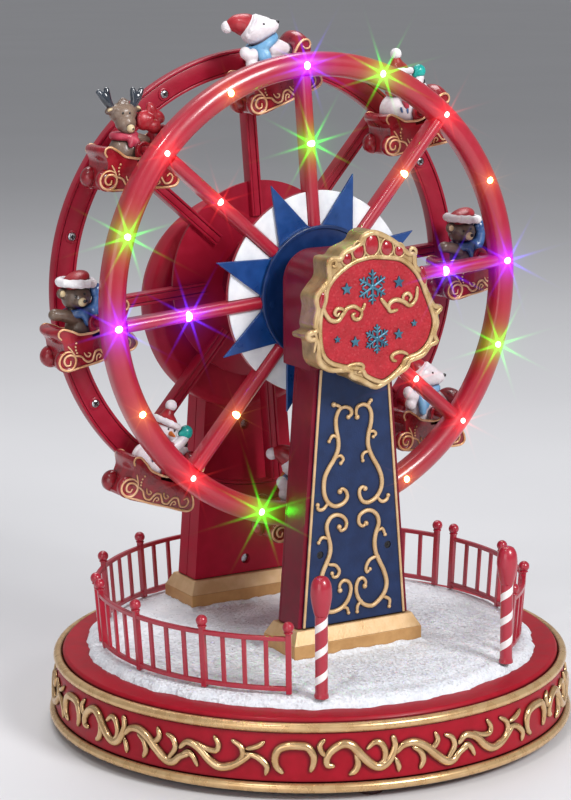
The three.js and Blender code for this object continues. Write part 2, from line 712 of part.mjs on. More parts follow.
// The wheel. Its pieces are made about the axle, spoke 0 towards +X, with depth measured
// outwards from the inner face of the rim
function halfProfile(depthPoints) {
  return depthPoints.map(([radius, depth]) => [radius, innerSpace / 2 + depth]);
}

function radialBar(section, from, to, angle) {
  const bar = new THREE.ExtrudeGeometry(shapeOf(section), { depth: to - from, bevelEnabled: false });
  bar.rotateY(Math.PI / 2).rotateX(Math.PI / 2);
  const spots = bar.attributes.position;
  for (let i = 0; i < spots.count; i += 1) {
    spots.setXYZ(i, spots.getX(i), innerSpace / 2 + spots.getZ(i), -spots.getY(i));
  }
  return solid(bar.translate(from, 0, 0).rotateY(-angle));
}

function wheelShell(lampHoles) {
  const crown = crownPoints(rimMiddleRadius, rimBand / 2, rimDepth - rimCrown, rimCrown, crownSteps * 2);
  const ring = halfProfile([[rimOuterRadius, 0], ...crown, [rimInnerRadius, 0]]);
  const slotHalf = rimBand / 2 - rimWall;
  const slotRoof = rimDepth - rimRoof;
  const slot = halfProfile([
    [rimMiddleRadius + slotHalf, -cutOverrun], [rimMiddleRadius + slotHalf, slotRoof],
    [rimMiddleRadius - slotHalf, slotRoof], [rimMiddleRadius - slotHalf, -cutOverrun],
  ]);
  const spokeSection = [[spokeWidth / 2, 0],
    ...crownPoints(0, spokeWidth / 2, spokeDepth - spokeCrown, spokeCrown, crownSteps), [-spokeWidth / 2, 0]];
  const slotWide = spokeWidth / 2 - spokeWall;
  const slotSection = [[slotWide, -cutOverrun], [slotWide, spokeDepth - spokeRoof - spokeWall],
    [-slotWide, spokeDepth - spokeRoof - spokeWall], [-slotWide, -cutOverrun]];
  const spokeStart = hubRingRadius + seatGap;
  const spokes = eachSpoke((angle) => radialBar(spokeSection, spokeStart, rimInnerRadius + rimWall, angle));
  const slots = eachSpoke((angle) => radialBar(slotSection, hubDiscRadius + rimWall,
    rimInnerRadius + rimWall + cutOverrun, angle));
  const hubDisc = halfProfile([[0, hubDiscSetback], [hubDiscRadius, hubDiscSetback],
    [hubDiscRadius, hubDiscSetback + hubDiscThickness], [0, hubDiscSetback + hubDiscThickness]]);
  const boss = rodAlongY(hubBossRadius, innerSpace / 2, innerSpace / 2 + spokeDepth);
  const bore = rodAlongY(axleRadius + runGap, 0, wheelWidth);
  const whole = joined(solid(turnedAboutY(ring, rimSegments)), ...spokes,
    solid(turnedAboutY(hubDisc, hubSegments)), solid(boss));
  return cut(whole, solid(turnedAboutY(slot, rimSegments)), ...slots, solid(bore), ...lampHoles);
}

function wheelCover() {
  const half = rimBand / 2 - rimWall - seatGap;
  const low = coverInset;
  const high = coverInset + coverThickness;
  const ring = halfProfile([[rimMiddleRadius + half, low], [rimMiddleRadius + half, high],
    [rimMiddleRadius - half, high], [rimMiddleRadius - half, low]]);
  const stripHalf = spokeWidth / 2 - spokeWall - seatGap;
  const strip = [[stripHalf, low], [stripHalf, high], [-stripHalf, high], [-stripHalf, low]];
  const strips = eachSpoke((angle) => radialBar(strip, hubDiscRadius + rimWall + seatGap,
    rimMiddleRadius - half + rimWall, angle));
  const pivotHoles = eachSpoke((angle) => {
    const hole = rodAlongY(trunnionRadius + runGap, 0, wheelWidth, pivotHoleSegments);
    return solid(hole.translate(rimMiddleRadius, 0, 0).rotateY(-angle));
  });
  return cut(joined(solid(turnedAboutY(ring, rimSegments)), ...strips), ...pivotHoles);
}

function lampPlaces() {
  const rim = Array.from({ length: rimLampCount }, (unused, index) => [rimMiddleRadius,
    (index * Math.PI * 2) / rimLampCount, rimDepth]);
  return [...rim, ...eachSpoke((angle) => [spokeLampRadius, angle, spokeDepth])];
}

function addWheel() {
  wheel.position.set(0, wheelMiddle, axleHeight);
  wheel.rotation.y = -turn(wheelPhaseDegrees);
  root.add(wheel);

  const holes = lampPlaces().map(([radius, angle, crest]) => {
    const low = innerSpace / 2 + crest - rimRoof * 2;
    const hole = rodAlongY(lampRadius + seatGap, low, low + rimDepth, lampSegments);
    return solid(hole.translate(radius, 0, 0).rotateY(-angle));
  });
  const flip = (made) => {
    made.rotation.z = Math.PI;
    return made;
  };
  flip(piece(wheel, 'front_wheel_shell', wheelShell(holes), red));
  flip(piece(wheel, 'front_wheel_cover', wheelCover(), red));
  piece(wheel, 'rear_wheel_shell', wheelShell([]), deepRed);
  piece(wheel, 'rear_wheel_cover', wheelCover(), deepRed);
  flip(piece(wheel, 'led_harness', ledHarness(), lamp));
  addHubDressing(flip);

  const front = axleFront - wheelMiddle;
  piece(wheel, 'axle', solid(rodAlongY(axleRadius, front, axleBack - wheelMiddle)), steel);
  const ringFront = front + cutOverrun;
  const inner = axleRadius + runGap;
  const third = slipRingLength / 3;
  const slip = [[inner, ringFront], [slipRingRadius, ringFront], [slipRingRadius, ringFront + third],
    [slipRingRadius - slipGrooveDepth, ringFront + third],
    [slipRingRadius - slipGrooveDepth, ringFront + third * 2],
    [slipRingRadius, ringFront + third * 2], [slipRingRadius, ringFront + slipRingLength],
    [inner, ringFront + slipRingLength]];
  piece(wheel, 'slip_ring', solid(turnedAboutY(slip, roundSegments)), brass);
  const spacerEnd = innerSpace / 2 + hubDiscSetback - seatGap;
  const neck = spacerEnd - spacerFlangeThickness;
  const socket = hubBossRadius + seatGap;
  const bossFace = innerSpace / 2 - seatGap;
  const spacerHalf = [[inner, bossFace], [socket, bossFace], [socket, spacerEnd],
    [spacerFlangeRadius, spacerEnd], [spacerFlangeRadius, neck], [spacerRadius, neck]];
  const mirrored = spacerHalf.map(([radius, along]) => [radius, -along]).reverse();
  piece(wheel, 'hub_spacer', solid(turnedAboutY([...spacerHalf, ...mirrored], roundSegments)), deepRed);
}

function ledHarness() {
  const low = hubDiscSetback + hubDiscThickness - rimWall + seatGap;
  const high = low + stripThickness;
  const ring = halfProfile([[rimMiddleRadius + rimStripWidth / 2, low],
    [rimMiddleRadius + rimStripWidth / 2, high], [rimMiddleRadius - rimStripWidth / 2, high],
    [rimMiddleRadius - rimStripWidth / 2, low]]);
  const half = spokeStripWidth / 2;
  const strips = eachSpoke((angle) => radialBar([[half, low], [half, high], [-half, high], [-half, low]],
    spokeStripInner, rimMiddleRadius, angle));
  const lamps = lampPlaces().map(([radius, angle, crest]) => {
    const tip = innerSpace / 2 + crest + lampProud;
    const profile = [[0, innerSpace / 2 + low + stripThickness / 2],
      [lampRadius, innerSpace / 2 + low + stripThickness / 2], [lampRadius, tip - lampTaper],
      [0, tip]];
    return solid(turnedAboutY(profile, lampSegments).translate(radius, 0, 0).rotateY(-angle));
  });
  return joined(solid(turnedAboutY(ring, rimSegments)), ...strips, ...lamps);
}

function addHubDressing(flip) {
  const bore = hubBossRadius + seatGap;
  const base = hubDiscSetback + hubDiscThickness + seatGap;
  const discTop = base + whiteDiscThickness;
  const disc = halfProfile([[bore, base], [hubDiscRadius, base], [hubDiscRadius, discTop], [bore, discTop]]);
  const gapHalf = spokeWidth / 2 + seatGap;
  const gap = [[gapHalf, 0], [gapHalf, rimDepth], [-gapHalf, rimDepth], [-gapHalf, 0]];
  const gaps = eachSpoke((angle) => radialBar(gap, hubRingRadius, starTipRadius, angle));
  flip(piece(wheel, 'white_disc', cut(solid(turnedAboutY(disc, hubSegments)), ...gaps), white));

  const starLow = discTop + seatGap;
  const starHigh = starLow + starThickness;
  const halfAngle = Math.asin((spokeWidth / 2 + starBaseMargin) / hubRingRadius);
  const outline = [];
  eachSpoke((angle) => {
    for (const edge of [-halfAngle, halfAngle]) {
      outline.push([hubRingRadius * Math.cos(angle + edge), hubRingRadius * Math.sin(angle + edge)]);
    }
    const tip = angle + Math.PI / spokeCount;
    outline.push([starTipRadius * Math.cos(tip), starTipRadius * Math.sin(tip)]);
  });
  const starFrom = innerSpace / 2 + starLow;
  const star = solid(plateAlongY(outline, starFrom, innerSpace / 2 + starHigh));
  const starBore = solid(rodAlongY(bore, 0, wheelWidth));
  flip(piece(wheel, 'star', cut(star, starBore), blue));

  const ringLow = starHigh + seatGap;
  const ringTop = ringLow + hubRingThickness;
  const lip = hubRingRadius - hubRingLipWidth;
  const ring = halfProfile([[bore, ringLow], [hubRingRadius, ringLow], [hubRingRadius, ringTop
    + hubRingLipHeight], [lip, ringTop + hubRingLipHeight], [lip, ringTop], [bore, ringTop]]);
  flip(piece(wheel, 'hub_ring', solid(turnedAboutY(ring, hubSegments)), blue));
}

// Gondolas
function sleighPoints(shares) {
  return shares.map(([along, up]) => [sleighLength * along - sleighBack, sleighHeight * up - sleighDrop]);
}

function sleighBody() {
  const half = sleighWidth / 2;
  const hull = solid(plateAlongY(sleighPoints(sleighProfileShares), -half, half));
  const cavity = solid(plateAlongY(sleighPoints(sleighCavityShares), sleighWall - half, half - sleighWall));
  const ears = [-1, 1].flatMap((side) => {
    const low = side > 0 ? half - sleighWall : -half;
    const ear = rodAlongY(earRadius, low, low + sleighWall);
    const neck = block(-earRadius, earRadius, low, low + sleighWall, -earRadius * 2, 0);
    const reach = innerSpace / 2 + trunnionReach;
    const pin = rodAlongY(trunnionRadius, Math.min(side * half, side * reach) - (side > 0 ? sleighWall / 2 : 0),
      Math.max(side * half, side * reach) + (side > 0 ? 0 : sleighWall / 2), trunnionSegments);
    return [solid(ear), solid(neck), solid(pin)];
  });
  return joined(cut(hull, cavity), ...ears);
}

function lump([place, radii], mirror = 1) {
  const form = new THREE.SphereGeometry(1, limbSegments, limbRings).rotateX(Math.PI / 2);
  form.scale(radii[0] * figureHeight, radii[1] * figureHeight, radii[2] * figureHeight);
  form.translate(place[0] * figureHeight, mirror * place[1] * figureHeight,
    (place[2] - figureSeatShare) * figureHeight);
  return solid(form);
}

function figureBody(kind) {
  const lumps = [lump(bodyShares), lump(chestShares), lump(armShares), lump(armShares, -1)];
  if (kind === 'snowman') {
    lumps.push(lump(roundHeadShares), lump(noseShares), lump(tallHatShares), lump(tallPomShares));
  } else if (kind === 'reindeer') {
    lumps.push(lump(deerHeadShares), lump(deerSnoutShares));
    for (const side of [-1, 1]) lumps.push(lump(earShares, side), lump(antlerShares, side));
  } else {
    lumps.push(lump(bearHeadShares), lump(bearSnoutShares), lump(hatShares), lump(hatTailShares),
      lump(pomShares));
  }
  return joined(...lumps);
}

function addGondolas() {
  const bodies = {};
  const shell = sleighBody();
  eachSpoke((angle, index) => {
    const kind = figureKinds[index];
    const gondola = new THREE.Group();
    const swing = angle + turn(wheelPhaseDegrees);
    gondola.position.set(rimMiddleRadius * Math.cos(swing), wheelMiddle,
      axleHeight + rimMiddleRadius * Math.sin(swing));
    gondola.rotation.y = -turn(sleighTiltDegrees[index]);
    root.add(gondola);
    piece(gondola, `sleigh_${index + 1}`, shell, red);
    if (!bodies[kind]) bodies[kind] = figureBody(kind);
    piece(gondola, `figure_${index + 1}_${kind}`, bodies[kind], figureColours[kind]);
  });
}

// Electrics in the base
function addElectrics() {
  const boardBottom = shellBottom + plateThickness + seatGap;
  const board = block(-boardSize[0] / 2, boardSize[0] / 2, boardMiddle - boardSize[1] / 2,
    boardMiddle + boardSize[1] / 2, boardBottom, boardBottom + boardSize[2]);
  const top = boardBottom + boardSize[2];
  const chip = block(-chipSize[0], 0, boardMiddle - chipSize[1] / 2, boardMiddle + chipSize[1] / 2,
    top - boardSize[2] / 2, top + chipSize[2]);
  const can = rodAlongZ(capacitorRadius, top - boardSize[2] / 2, top + capacitorHeight);
  can.translate(boardSize[0] / 4, boardMiddle, 0);
  piece(root, 'control_board', joined(solid(board), solid(chip), solid(can)), green);

  const wallInside = shellTopRadius - shellWall;
  const wallOutside = lowerBeadCircle - beadRadius / 4 - sideBandSlope;
  const reach = Math.sqrt(wallInside ** 2 - (socketSpread + switchSize[0] / 2) ** 2);
  const jackFace = Math.sqrt(wallOutside ** 2 - (socketSpread + jackRadius) ** 2) - seatGap;
  const jack = rodAlongY(jackRadius, jackFace - jackLength, jackFace);
  const bore = rodAlongY(jackBore, jackFace - jackDepth, jackFace + cutOverrun);
  const socket = piece(root, 'dc_jack', cut(solid(jack), solid(bore)), black);
  socket.position.set(-socketSpread, 0, socketHeight);

  const bodyFace = reach - seatGap;
  const body = block(-switchSize[0] / 2, switchSize[0] / 2, bodyFace - switchSize[1], bodyFace,
    -switchSize[2] / 2, switchSize[2] / 2);
  const knobOuter = Math.sqrt(wallOutside ** 2 - socketSpread ** 2) + switchKnobProud;
  const knobInner = knobOuter - switchKnobSize[1];
  const wide = switchKnobSize[0] / 2 + switchTravel / 2 + runGap;
  const slot = block(-wide, wide, knobInner - runGap, bodyFace + cutOverrun,
    -switchKnobSize[2] / 2 - runGap, switchKnobSize[2] / 2 + runGap);
  const housing = piece(root, 'slide_switch', cut(solid(body), solid(slot)), black);
  housing.position.set(socketSpread, 0, socketHeight);
  const knob = block(-switchKnobSize[0] / 2, switchKnobSize[0] / 2, knobInner, knobOuter,
    -switchKnobSize[2] / 2, switchKnobSize[2] / 2);
  const slider = piece(root, 'switch_knob', solid(knob), black);
  slider.position.set(socketSpread - switchTravel / 2, 0, socketHeight);
}

addBase();
fenceNames.forEach((name, index) => addFence(name, fenceStartDegrees[index]));
addPole('candy_pole_left', -1);
addPole('candy_pole_right', 1);
addFrontTower();
addRearTower();
addWheel();
addGondolas();
addElectrics();

const group = root;
export default group;
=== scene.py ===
# Looks of a lit christmas village ferris wheel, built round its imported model.
# Sizes are in millimetres here and become metres when a mesh is made.

from math import asin, cos, degrees, exp, pi, radians, sin, tau

import bmesh
import bpy
from mathutils import Matrix, Vector, noise


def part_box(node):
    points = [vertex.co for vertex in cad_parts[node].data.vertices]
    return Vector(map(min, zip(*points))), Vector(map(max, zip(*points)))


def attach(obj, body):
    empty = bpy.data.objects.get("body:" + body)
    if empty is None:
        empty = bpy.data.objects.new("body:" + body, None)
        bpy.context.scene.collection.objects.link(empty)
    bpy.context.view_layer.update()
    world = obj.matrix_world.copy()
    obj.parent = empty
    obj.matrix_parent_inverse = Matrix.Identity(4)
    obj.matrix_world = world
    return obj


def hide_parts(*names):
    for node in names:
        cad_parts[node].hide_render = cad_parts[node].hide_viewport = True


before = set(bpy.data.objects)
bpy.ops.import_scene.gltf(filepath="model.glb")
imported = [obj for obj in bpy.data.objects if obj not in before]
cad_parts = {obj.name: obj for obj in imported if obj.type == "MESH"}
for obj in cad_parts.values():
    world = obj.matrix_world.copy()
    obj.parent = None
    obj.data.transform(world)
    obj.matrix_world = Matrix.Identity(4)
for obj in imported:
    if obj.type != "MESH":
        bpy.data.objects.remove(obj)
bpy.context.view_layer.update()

MM = 0.001
TURN = tau
FINE = 160
ROUND = 24


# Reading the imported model
def box_mm(node):
    low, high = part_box(node)
    return low / MM, high / MM


def middle(node):
    low, high = box_mm(node)
    return (low + high) / 2


def shift(x=0.0, y=0.0, z=0.0):
    return Matrix.Translation((x, y, z))


def turn(angle):
    """A turn about Y that takes +X towards +Z."""
    return Matrix.Rotation(-angle, 4, "Y")


def level(angle):
    return Vector((cos(angle), sin(angle), 0))


def upright(angle):
    return Vector((cos(angle), 0, sin(angle)))


# Forms: points in millimetres with faces over them, each face with the number of its material
class Form:
    def __init__(self, made=((), ())):
        self.points, self.faces, self.looks = [], [], []
        self.add(made)

    def add(self, made, look=0, at=None):
        points, faces = made
        start = len(self.points)
        self.points += [at @ Vector(point) if at else Vector(point) for point in points]
        self.faces += [[start + corner for corner in face] for face in faces]
        self.looks += [look] * len(faces)
        return self

    def moved(self, at):
        self.points = [at @ point for point in self.points]
        return self


def placed(name, data):
    thing = bpy.data.objects.new(name, data)
    bpy.context.scene.collection.objects.link(thing)
    return thing


def solid(name, form, looks=(), scale=1.0):
    """An object of the form, its doubled points run together and its faces turned outwards."""
    mesh = bpy.data.meshes.new(name)
    mesh.from_pydata([point * scale for point in form.points], [], form.faces)
    for look in looks:
        mesh.materials.append(look)
    mesh.polygons.foreach_set("material_index", form.looks)
    tidy = bmesh.new()
    tidy.from_mesh(mesh)
    bmesh.ops.remove_doubles(tidy, verts=tidy.verts, dist=MM * scale)
    bmesh.ops.recalc_face_normals(tidy, faces=tidy.faces)
    tidy.to_mesh(mesh)
    tidy.free()
    return placed(name, mesh)


def round_edges(piece, width, segments, angle):
    edge = piece.modifiers.new("edges", "BEVEL")
    edge.width = width * MM
    edge.segments = segments
    edge.limit_method = "ANGLE"
    edge.angle_limit = radians(angle)
    return edge


def make(name, form, looks, node=None, body="stand", bevel=0.0, smooth=40.0, steps=2):
    """A piece of the form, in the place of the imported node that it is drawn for."""
    piece = solid(name, form, looks, MM)
    piece.data.shade_smooth()
    if bevel:
        round_edges(piece, bevel, steps, smooth).harden_normals = True
    else:
        piece.data.set_sharp_from_angle(angle=radians(smooth))
    if node:
        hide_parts(node)
    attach(piece, body)
    return piece


def lathe(profile, steps=FINE, closed=False, axis="Z"):
    points, rows, faces = [], [], []
    for radius, height in profile:
        rows.append(range(len(points), len(points) + (steps if radius else 1)))
        for i in range(len(rows[-1])):
            across, along = radius * cos(TURN * i / steps), radius * sin(TURN * i / steps)
            points.append((across, along, height) if axis == "Z" else (across, height, along))
    for low, high in zip(rows, rows[1:] + rows[:1] if closed else rows[1:]):
        for i in range(steps):
            j = i + 1
            corners = [low[i % len(low)], low[j % len(low)], high[j % len(high)], high[i % len(high)]]
            face = list(dict.fromkeys(corners))
            if len(face) > 2:
                faces.append(face)
    return points, faces


def rod(radius, low, high, steps=ROUND):
    return lathe([(0, low), (radius, low), (radius, high), (0, high)], steps, axis="Y")


def skin(rings, closed=False):
    """Faces over rings with equally many points, with flat ends unless the rings come round to the first."""
    count, last = len(rings[0]), len(rings) - 1
    faces = [] if closed else [list(range(count)), [last * count + i for i in range(count)][::-1]]
    for row in range(len(rings) if closed else last):
        low, high = row * count, (row + 1) % len(rings) * count
        faces += [[low + i, low + (i + 1) % count, high + (i + 1) % count, high + i] for i in range(count)]
    return [point for ring in rings for point in ring], faces


def prism(outline, low, high, axis="Y"):
    if axis == "Y":
        return skin([[(a, along, b) for a, b in outline] for along in (low, high)])
    return skin([[(a, b, along) for a, b in outline] for along in (low, high)])


def block(low, high):
    (x0, y0, z0), (x1, y1, z1) = low, high
    return prism([(x0, z0), (x1, z0), (x1, z1), (x0, z1)], y0, y1)


def ball(centre, radii, turned=None, steps=ROUND, rows=14):
    profile = [(sin(pi * i / rows), cos(pi * i / rows)) for i in range(rows + 1)]
    profile[0], profile[-1] = (0, 1), (0, -1)
    points, faces = lathe(profile, steps)
    at = shift(*centre) @ (turned or Matrix()) @ Matrix.Diagonal((*radii, 1))
    return [at @ Vector(point) for point in points], faces


def tube(path, radius, sides=10, closed=False, tips=3):
    """A round tube along a path; the radius is one number or one for each point."""
    path = [Vector(point) for point in path]
    radii = [radius] * len(path) if isinstance(radius, (int, float)) else radius
    ahead = [(b - a).normalized() for a, b in zip(path, path[1:])]
    tangents = [ahead[0]] + [(a + b).normalized() for a, b in zip(ahead, ahead[1:])] + [ahead[-1]]
    if closed:
        joint = (path[0] - path[-1]).normalized()
        tangents[0], tangents[-1] = (joint + ahead[0]).normalized(), (ahead[-1] + joint).normalized()
    side = tangents[0].orthogonal().normalized()
    rings = []
    for point, tangent, width in zip(path, tangents, radii):
        side = (side - tangent * side.dot(tangent)).normalized()
        rings.append((point, side.copy(), tangent.cross(side), width))
    if not closed:
        for end, tangent in ((0, -tangents[0]), (-1, tangents[-1])):
            point, across, up, width = rings[end]
            for k in range(1, tips + 1):
                angle = TURN / 4 * k / (tips + 0.3)
                ring = (point + tangent * width * sin(angle), across, up, width * cos(angle))
                rings.insert(0 if end == 0 else len(rings), ring)
    turns = [TURN * i / sides for i in range(sides)]
    return skin([[point + (across * cos(a) + up * sin(a)) * width for a in turns]
                 for point, across, up, width in rings], closed)


def bar(start, end, wide, deep, facing):
    """A straight bar of a rectangular section from start to end; wide is square to facing."""
    start, end = Vector(start), Vector(end)
    along = (end - start).normalized()
    across = along.cross(Vector(facing).normalized()).normalized() * wide / 2
    out = across.cross(along).normalized() * deep / 2
    corners = [-across - out, across - out, across + out, -across + out]
    return skin([[place + corner for corner in corners] for place in (start, end)])


def arc(centre, radius, start, end, steps):
    angles = [radians(start + (end - start) * i / steps) for i in range(steps + 1)]
    return [(centre[0] + radius * cos(a), centre[1] + radius * sin(a)) for a in angles]


def fillet(outline, radius, steps=4, closed=True, flat=155.0):
    """The outline with its corners rounded, but for those that turn little."""
    made, corners = [], [Vector(corner) for corner in outline]
    for i, corner in enumerate(corners):
        back, ahead = corners[i - 1] - corner, corners[(i + 1) % len(corners)] - corner
        if (not closed and i in (0, len(corners) - 1)) or degrees(back.angle(ahead)) > flat:
            made.append(corner)
            continue
        reach = min(radius, back.length / 2.2, ahead.length / 2.2)
        first, last = corner + back.normalized() * reach, corner + ahead.normalized() * reach
        for t in (k / steps for k in range(steps + 1)):
            made.append(first * (1 - t) ** 2 + corner * 2 * t * (1 - t) + last * t * t)
    return made


def curve(points, steps, closed=False):
    """A smooth run through all points."""
    points = [Vector(point) for point in points]
    count = len(points)

    def at(i):
        return points[i % count] if closed else points[max(0, min(count - 1, i))]

    made = []
    for i in range(count if closed else count - 1):
        a, b, c, d = at(i - 1), at(i), at(i + 1), at(i + 2)
        bend, twist = 2 * a - 5 * b + 4 * c - d, 3 * b - a - 3 * c + d
        for t in (k / steps for k in range(steps)):
            made.append((2 * b + (c - a) * t + bend * t * t + twist * t ** 3) / 2)
    return made if closed else [*made, points[-1]]


def carve(form, *tools, how="DIFFERENCE"):
    """The form cut by, or joined with, other forms, still in millimetres."""
    things = [solid("loose", one) for one in (form, *tools)]
    for other in things[1:]:
        step = things[0].modifiers.new("carve", "BOOLEAN")
        step.operation = how
        step.solver = "EXACT"
        step.object = other
    bpy.context.view_layer.update()
    mesh = things[0].evaluated_get(bpy.context.evaluated_depsgraph_get()).data
    made = Form(([v.co.copy() for v in mesh.vertices], [list(p.vertices) for p in mesh.polygons]))
    for one in things:
        bpy.data.objects.remove(one)
    return made


# Materials
def rgb(code):
    channels = [int(code[i:i + 2], 16) / 255 for i in (0, 2, 4)]
    linear = [c / 12.92 if c <= 0.04045 else ((c + 0.055) / 1.055) ** 2.4 for c in channels]
    return (*linear, 1.0)


def feed(tree, node, inputs):
    """Give each input of a node its value, or a link where the value is another node's output."""
    for name, value in inputs.items():
        if isinstance(value, bpy.types.NodeSocket):
            tree.links.new(value, node.inputs[name])
        else:
            node.inputs[name].default_value = value


def add_node(tree, kind, inputs, **settings):
    node = tree.nodes.new("ShaderNode" + kind)
    for name, value in settings.items():
        setattr(node, name, value)
    feed(tree, node, inputs)
    return node


def mixed(tree, share, first, second):
    return add_node(tree, "Mix", {"Factor": share, 6: first, 7: second}, data_type="RGBA").outputs[2]


def ranged(tree, value, low, high, new_low, new_high):
    inputs = {"Value": value, "From Min": low, "From Max": high, "To Min": new_low, "To Max": new_high}
    return add_node(tree, "MapRange", inputs).outputs["Result"]


def cloud(tree, where, scale, detail=4.0):
    return add_node(tree, "TexNoise", {"Scale": scale, "Detail": detail, "Vector": where}).outputs["Fac"]


def bumped(tree, height, strength):
    return add_node(tree, "Bump", {"Strength": strength, "Distance": MM, "Height": height}).outputs["Normal"]


def start_look(name):
    material = bpy.data.materials.new(name)
    material.use_nodes = True
    tree = material.node_tree
    return material, tree, tree.nodes["Principled BSDF"], add_node(tree, "TexCoord", {}).outputs["Object"]


def painted(name, light, dark, rough, spread=0.08, scale=160.0, bump=0.05, fine=1800.0, metal=0.0,
            coat=0.0, coat_rough=0.1, shade_and_wash=None, reach=1.2, gloss=0.5):
    """A painted surface: clouded colour, uneven gloss, fine grain, and painted shade in its hollows, partly
    an antique wash.
    """
    material, tree, shader, where = start_look(name)
    broad = cloud(tree, where, scale)
    colour = mixed(tree, ranged(tree, broad, 0.35, 0.65, 0.0, 1.0), rgb(dark), rgb(light))
    # Ambient occlusion within reach darkens the colour in hollows and next to raised parts: painted shade.
    if shade_and_wash:
        near = add_node(tree, "AmbientOcclusion", {"Distance": reach * MM}, samples=8)
        colour = mixed(tree, ranged(tree, near.outputs["AO"], 0.35, 0.95, 0.0, 1.0), rgb(shade_and_wash), colour)
    feed(tree, shader, {
        "Base Color": colour, "Roughness": ranged(tree, broad, 0.3, 0.7, rough - spread, rough + spread),
        "Normal": bumped(tree, cloud(tree, where, fine, 6.0), bump), "Metallic": metal,
        "Specular IOR Level": gloss, "Coat Weight": coat, "Coat Roughness": coat_rough})
    return material


def sparkling(name, light, dark, rough, cells, glint, tilt, bump, metal=0.0):
    """Snow or glitter: every grain is a small cell with a tilt and a gloss of its own."""
    material, tree, shader, where = start_look(name)
    grains = add_node(tree, "TexVoronoi", {"Scale": cells, "Vector": where}).outputs["Color"]
    one_share = add_node(tree, "SeparateColor", {"Color": grains}).outputs["Red"]
    broad = ranged(tree, cloud(tree, where, cells / 9), 0.3, 0.7, 0.0, 1.0)
    hills = bumped(tree, cloud(tree, where, cells / 2, 6.0), bump)
    spread = {0: grains, 1: (2 * tilt,) * 3, 2: (-tilt,) * 3}
    lean = add_node(tree, "VectorMath", spread, operation="MULTIPLY_ADD")
    tipped = add_node(tree, "VectorMath", {0: hills, 1: lean.outputs[0]})
    unit = add_node(tree, "VectorMath", {0: tipped.outputs[0]}, operation="NORMALIZE")
    feed(tree, shader, {
        "Base Color": mixed(tree, broad, rgb(dark), rgb(light)), "Normal": unit.outputs[0],
        "Roughness": ranged(tree, one_share, glint, 1.0, rough, 0.2), "Metallic": metal})
    return material


def with_lamp_glow(material, attribute):
    """A copy of the material with the lamps' light painted into its plastic as a glow, from a colour kept
    with the mesh.
    """
    glow_copy = material.copy()
    glow_copy.name = material.name + "_lamp_glow_painted"
    tree = glow_copy.node_tree
    light = add_node(tree, "Attribute", {}, attribute_name=attribute).outputs["Color"]
    feed(tree, tree.nodes["Principled BSDF"], {"Emission Color": light, "Emission Strength": 1.0})
    return glow_copy


def glowing(name, colour, strength):
    material = painted(name, "f4efe4", "e2dccf", 0.2, spread=0.04)
    light = {"Emission Color": (*colour, 1.0), "Emission Strength": strength}
    feed(material.node_tree, material.node_tree.nodes["Principled BSDF"], light)
    return material


# A finish given a wash colour is darker in its hollows and round raised parts: painted shade, partly an
# antique wash.
CRIMSON = painted("crimson", "aa1631", "a4142b", 0.36, spread=0.04, coat=0.6, bump=0.03)
DEEP_CRIMSON = painted("deep_crimson", "ae1031", "a20c2a", 0.5, spread=0.04, coat=0.05, coat_rough=0.25,
                       bump=0.03, gloss=0.2)
# The rear and tower crimsons are darker copies of the crimson plastic: painted shade for the rear wheel half
# and the front tower.
SHADED_REAR_CRIMSON = painted("shaded_rear_crimson", "9f112f", "950d28", 0.4, spread=0.04, coat=0.2, coat_rough=0.15,
                       bump=0.03, gloss=0.3)
SHADED_TOWER_CRIMSON = painted("shaded_tower_crimson", "740a26", "68071e", 0.42, spread=0.04, coat=0.12, coat_rough=0.2,
                        bump=0.03, gloss=0.2)
BASE_CRIMSON = painted("base_crimson", "a20a22", "96071c", 0.45, spread=0.05, coat=0.08, coat_rough=0.15,
                       bump=0.04, gloss=0.2, shade_and_wash="4a0610", reach=2.0)
GOLD = painted("gold_paint", "dfbd8f", "cba474", 0.24, spread=0.03, metal=0.75, bump=0.03, fine=500.0,
               shade_and_wash="4a2610", reach=3.2)
BEAD_GOLD = painted("bead_gold_paint", "dcb988", "cca472", 0.28, spread=0.03, metal=0.6, bump=0.02,
                    fine=500.0, shade_and_wash="5a381c", reach=2.2)
PALE_GOLD = painted("pale_gold_paint", "dab88c", "cca676", 0.42, metal=0.3, bump=0.1, fine=900.0,
                    shade_and_wash="6b4522")
BAND_GOLD = painted("band_gold_paint", "c99a62", "b98a54", 0.45, metal=0.2, bump=0.1, shade_and_wash="6b4522")
OLD_GOLD = painted("old_gold_paint", "d8ba8c", "b99662", 0.32, metal=0.4, bump=0.24, fine=600.0,
                   shade_and_wash="5a361a", reach=2.4)
# A darker, browner copy of the sign's gold for its outer sides and back: painted shade on the sides turned
# from the light.
SHADED_SIDE_GOLD = painted("shaded_side_gold", "b09868", "8a744c", 0.4, metal=0.4, bump=0.4, fine=420.0,
                 shade_and_wash="4a3822", reach=2.0)
BLUE = painted("star_blue", "0e4284", "0b3873", 0.34, coat=0.2, coat_rough=0.25)
RING_BLUE = painted("ring_blue", "0c2f63", "092755", 0.36, coat=0.2, coat_rough=0.25)
NAVY = painted("panel_navy", "1d3057", "19294c", 0.5, bump=0.16, fine=1200.0, gloss=0.3,
               shade_and_wash="070d1e", reach=2.0)
WHITE = painted("white_plastic", "eef0f3", "dfe2e8", 0.4)
POLE_WHITE = painted("pole_white", "f4efee", "e6dedd", 0.3, coat=0.3)
SNOW = sparkling("snow", "ebeef3", "dde2e9", 0.8, 1200.0, 0.93, 0.38, 0.3)
GLITTER = sparkling("glitter_red", "b41a2a", "9e1420", 0.5, 1500.0, 0.9, 0.2, 0.3, metal=0.1)
STEEL = painted("steel", "c8cbd0", "a9adb3", 0.28, metal=1.0, scale=900.0)
BRASS = painted("brass", "cfa654", "b48a3c", 0.32, metal=1.0, scale=700.0)
BLACK = painted("black_plastic", "1d1d20", "141416", 0.42)
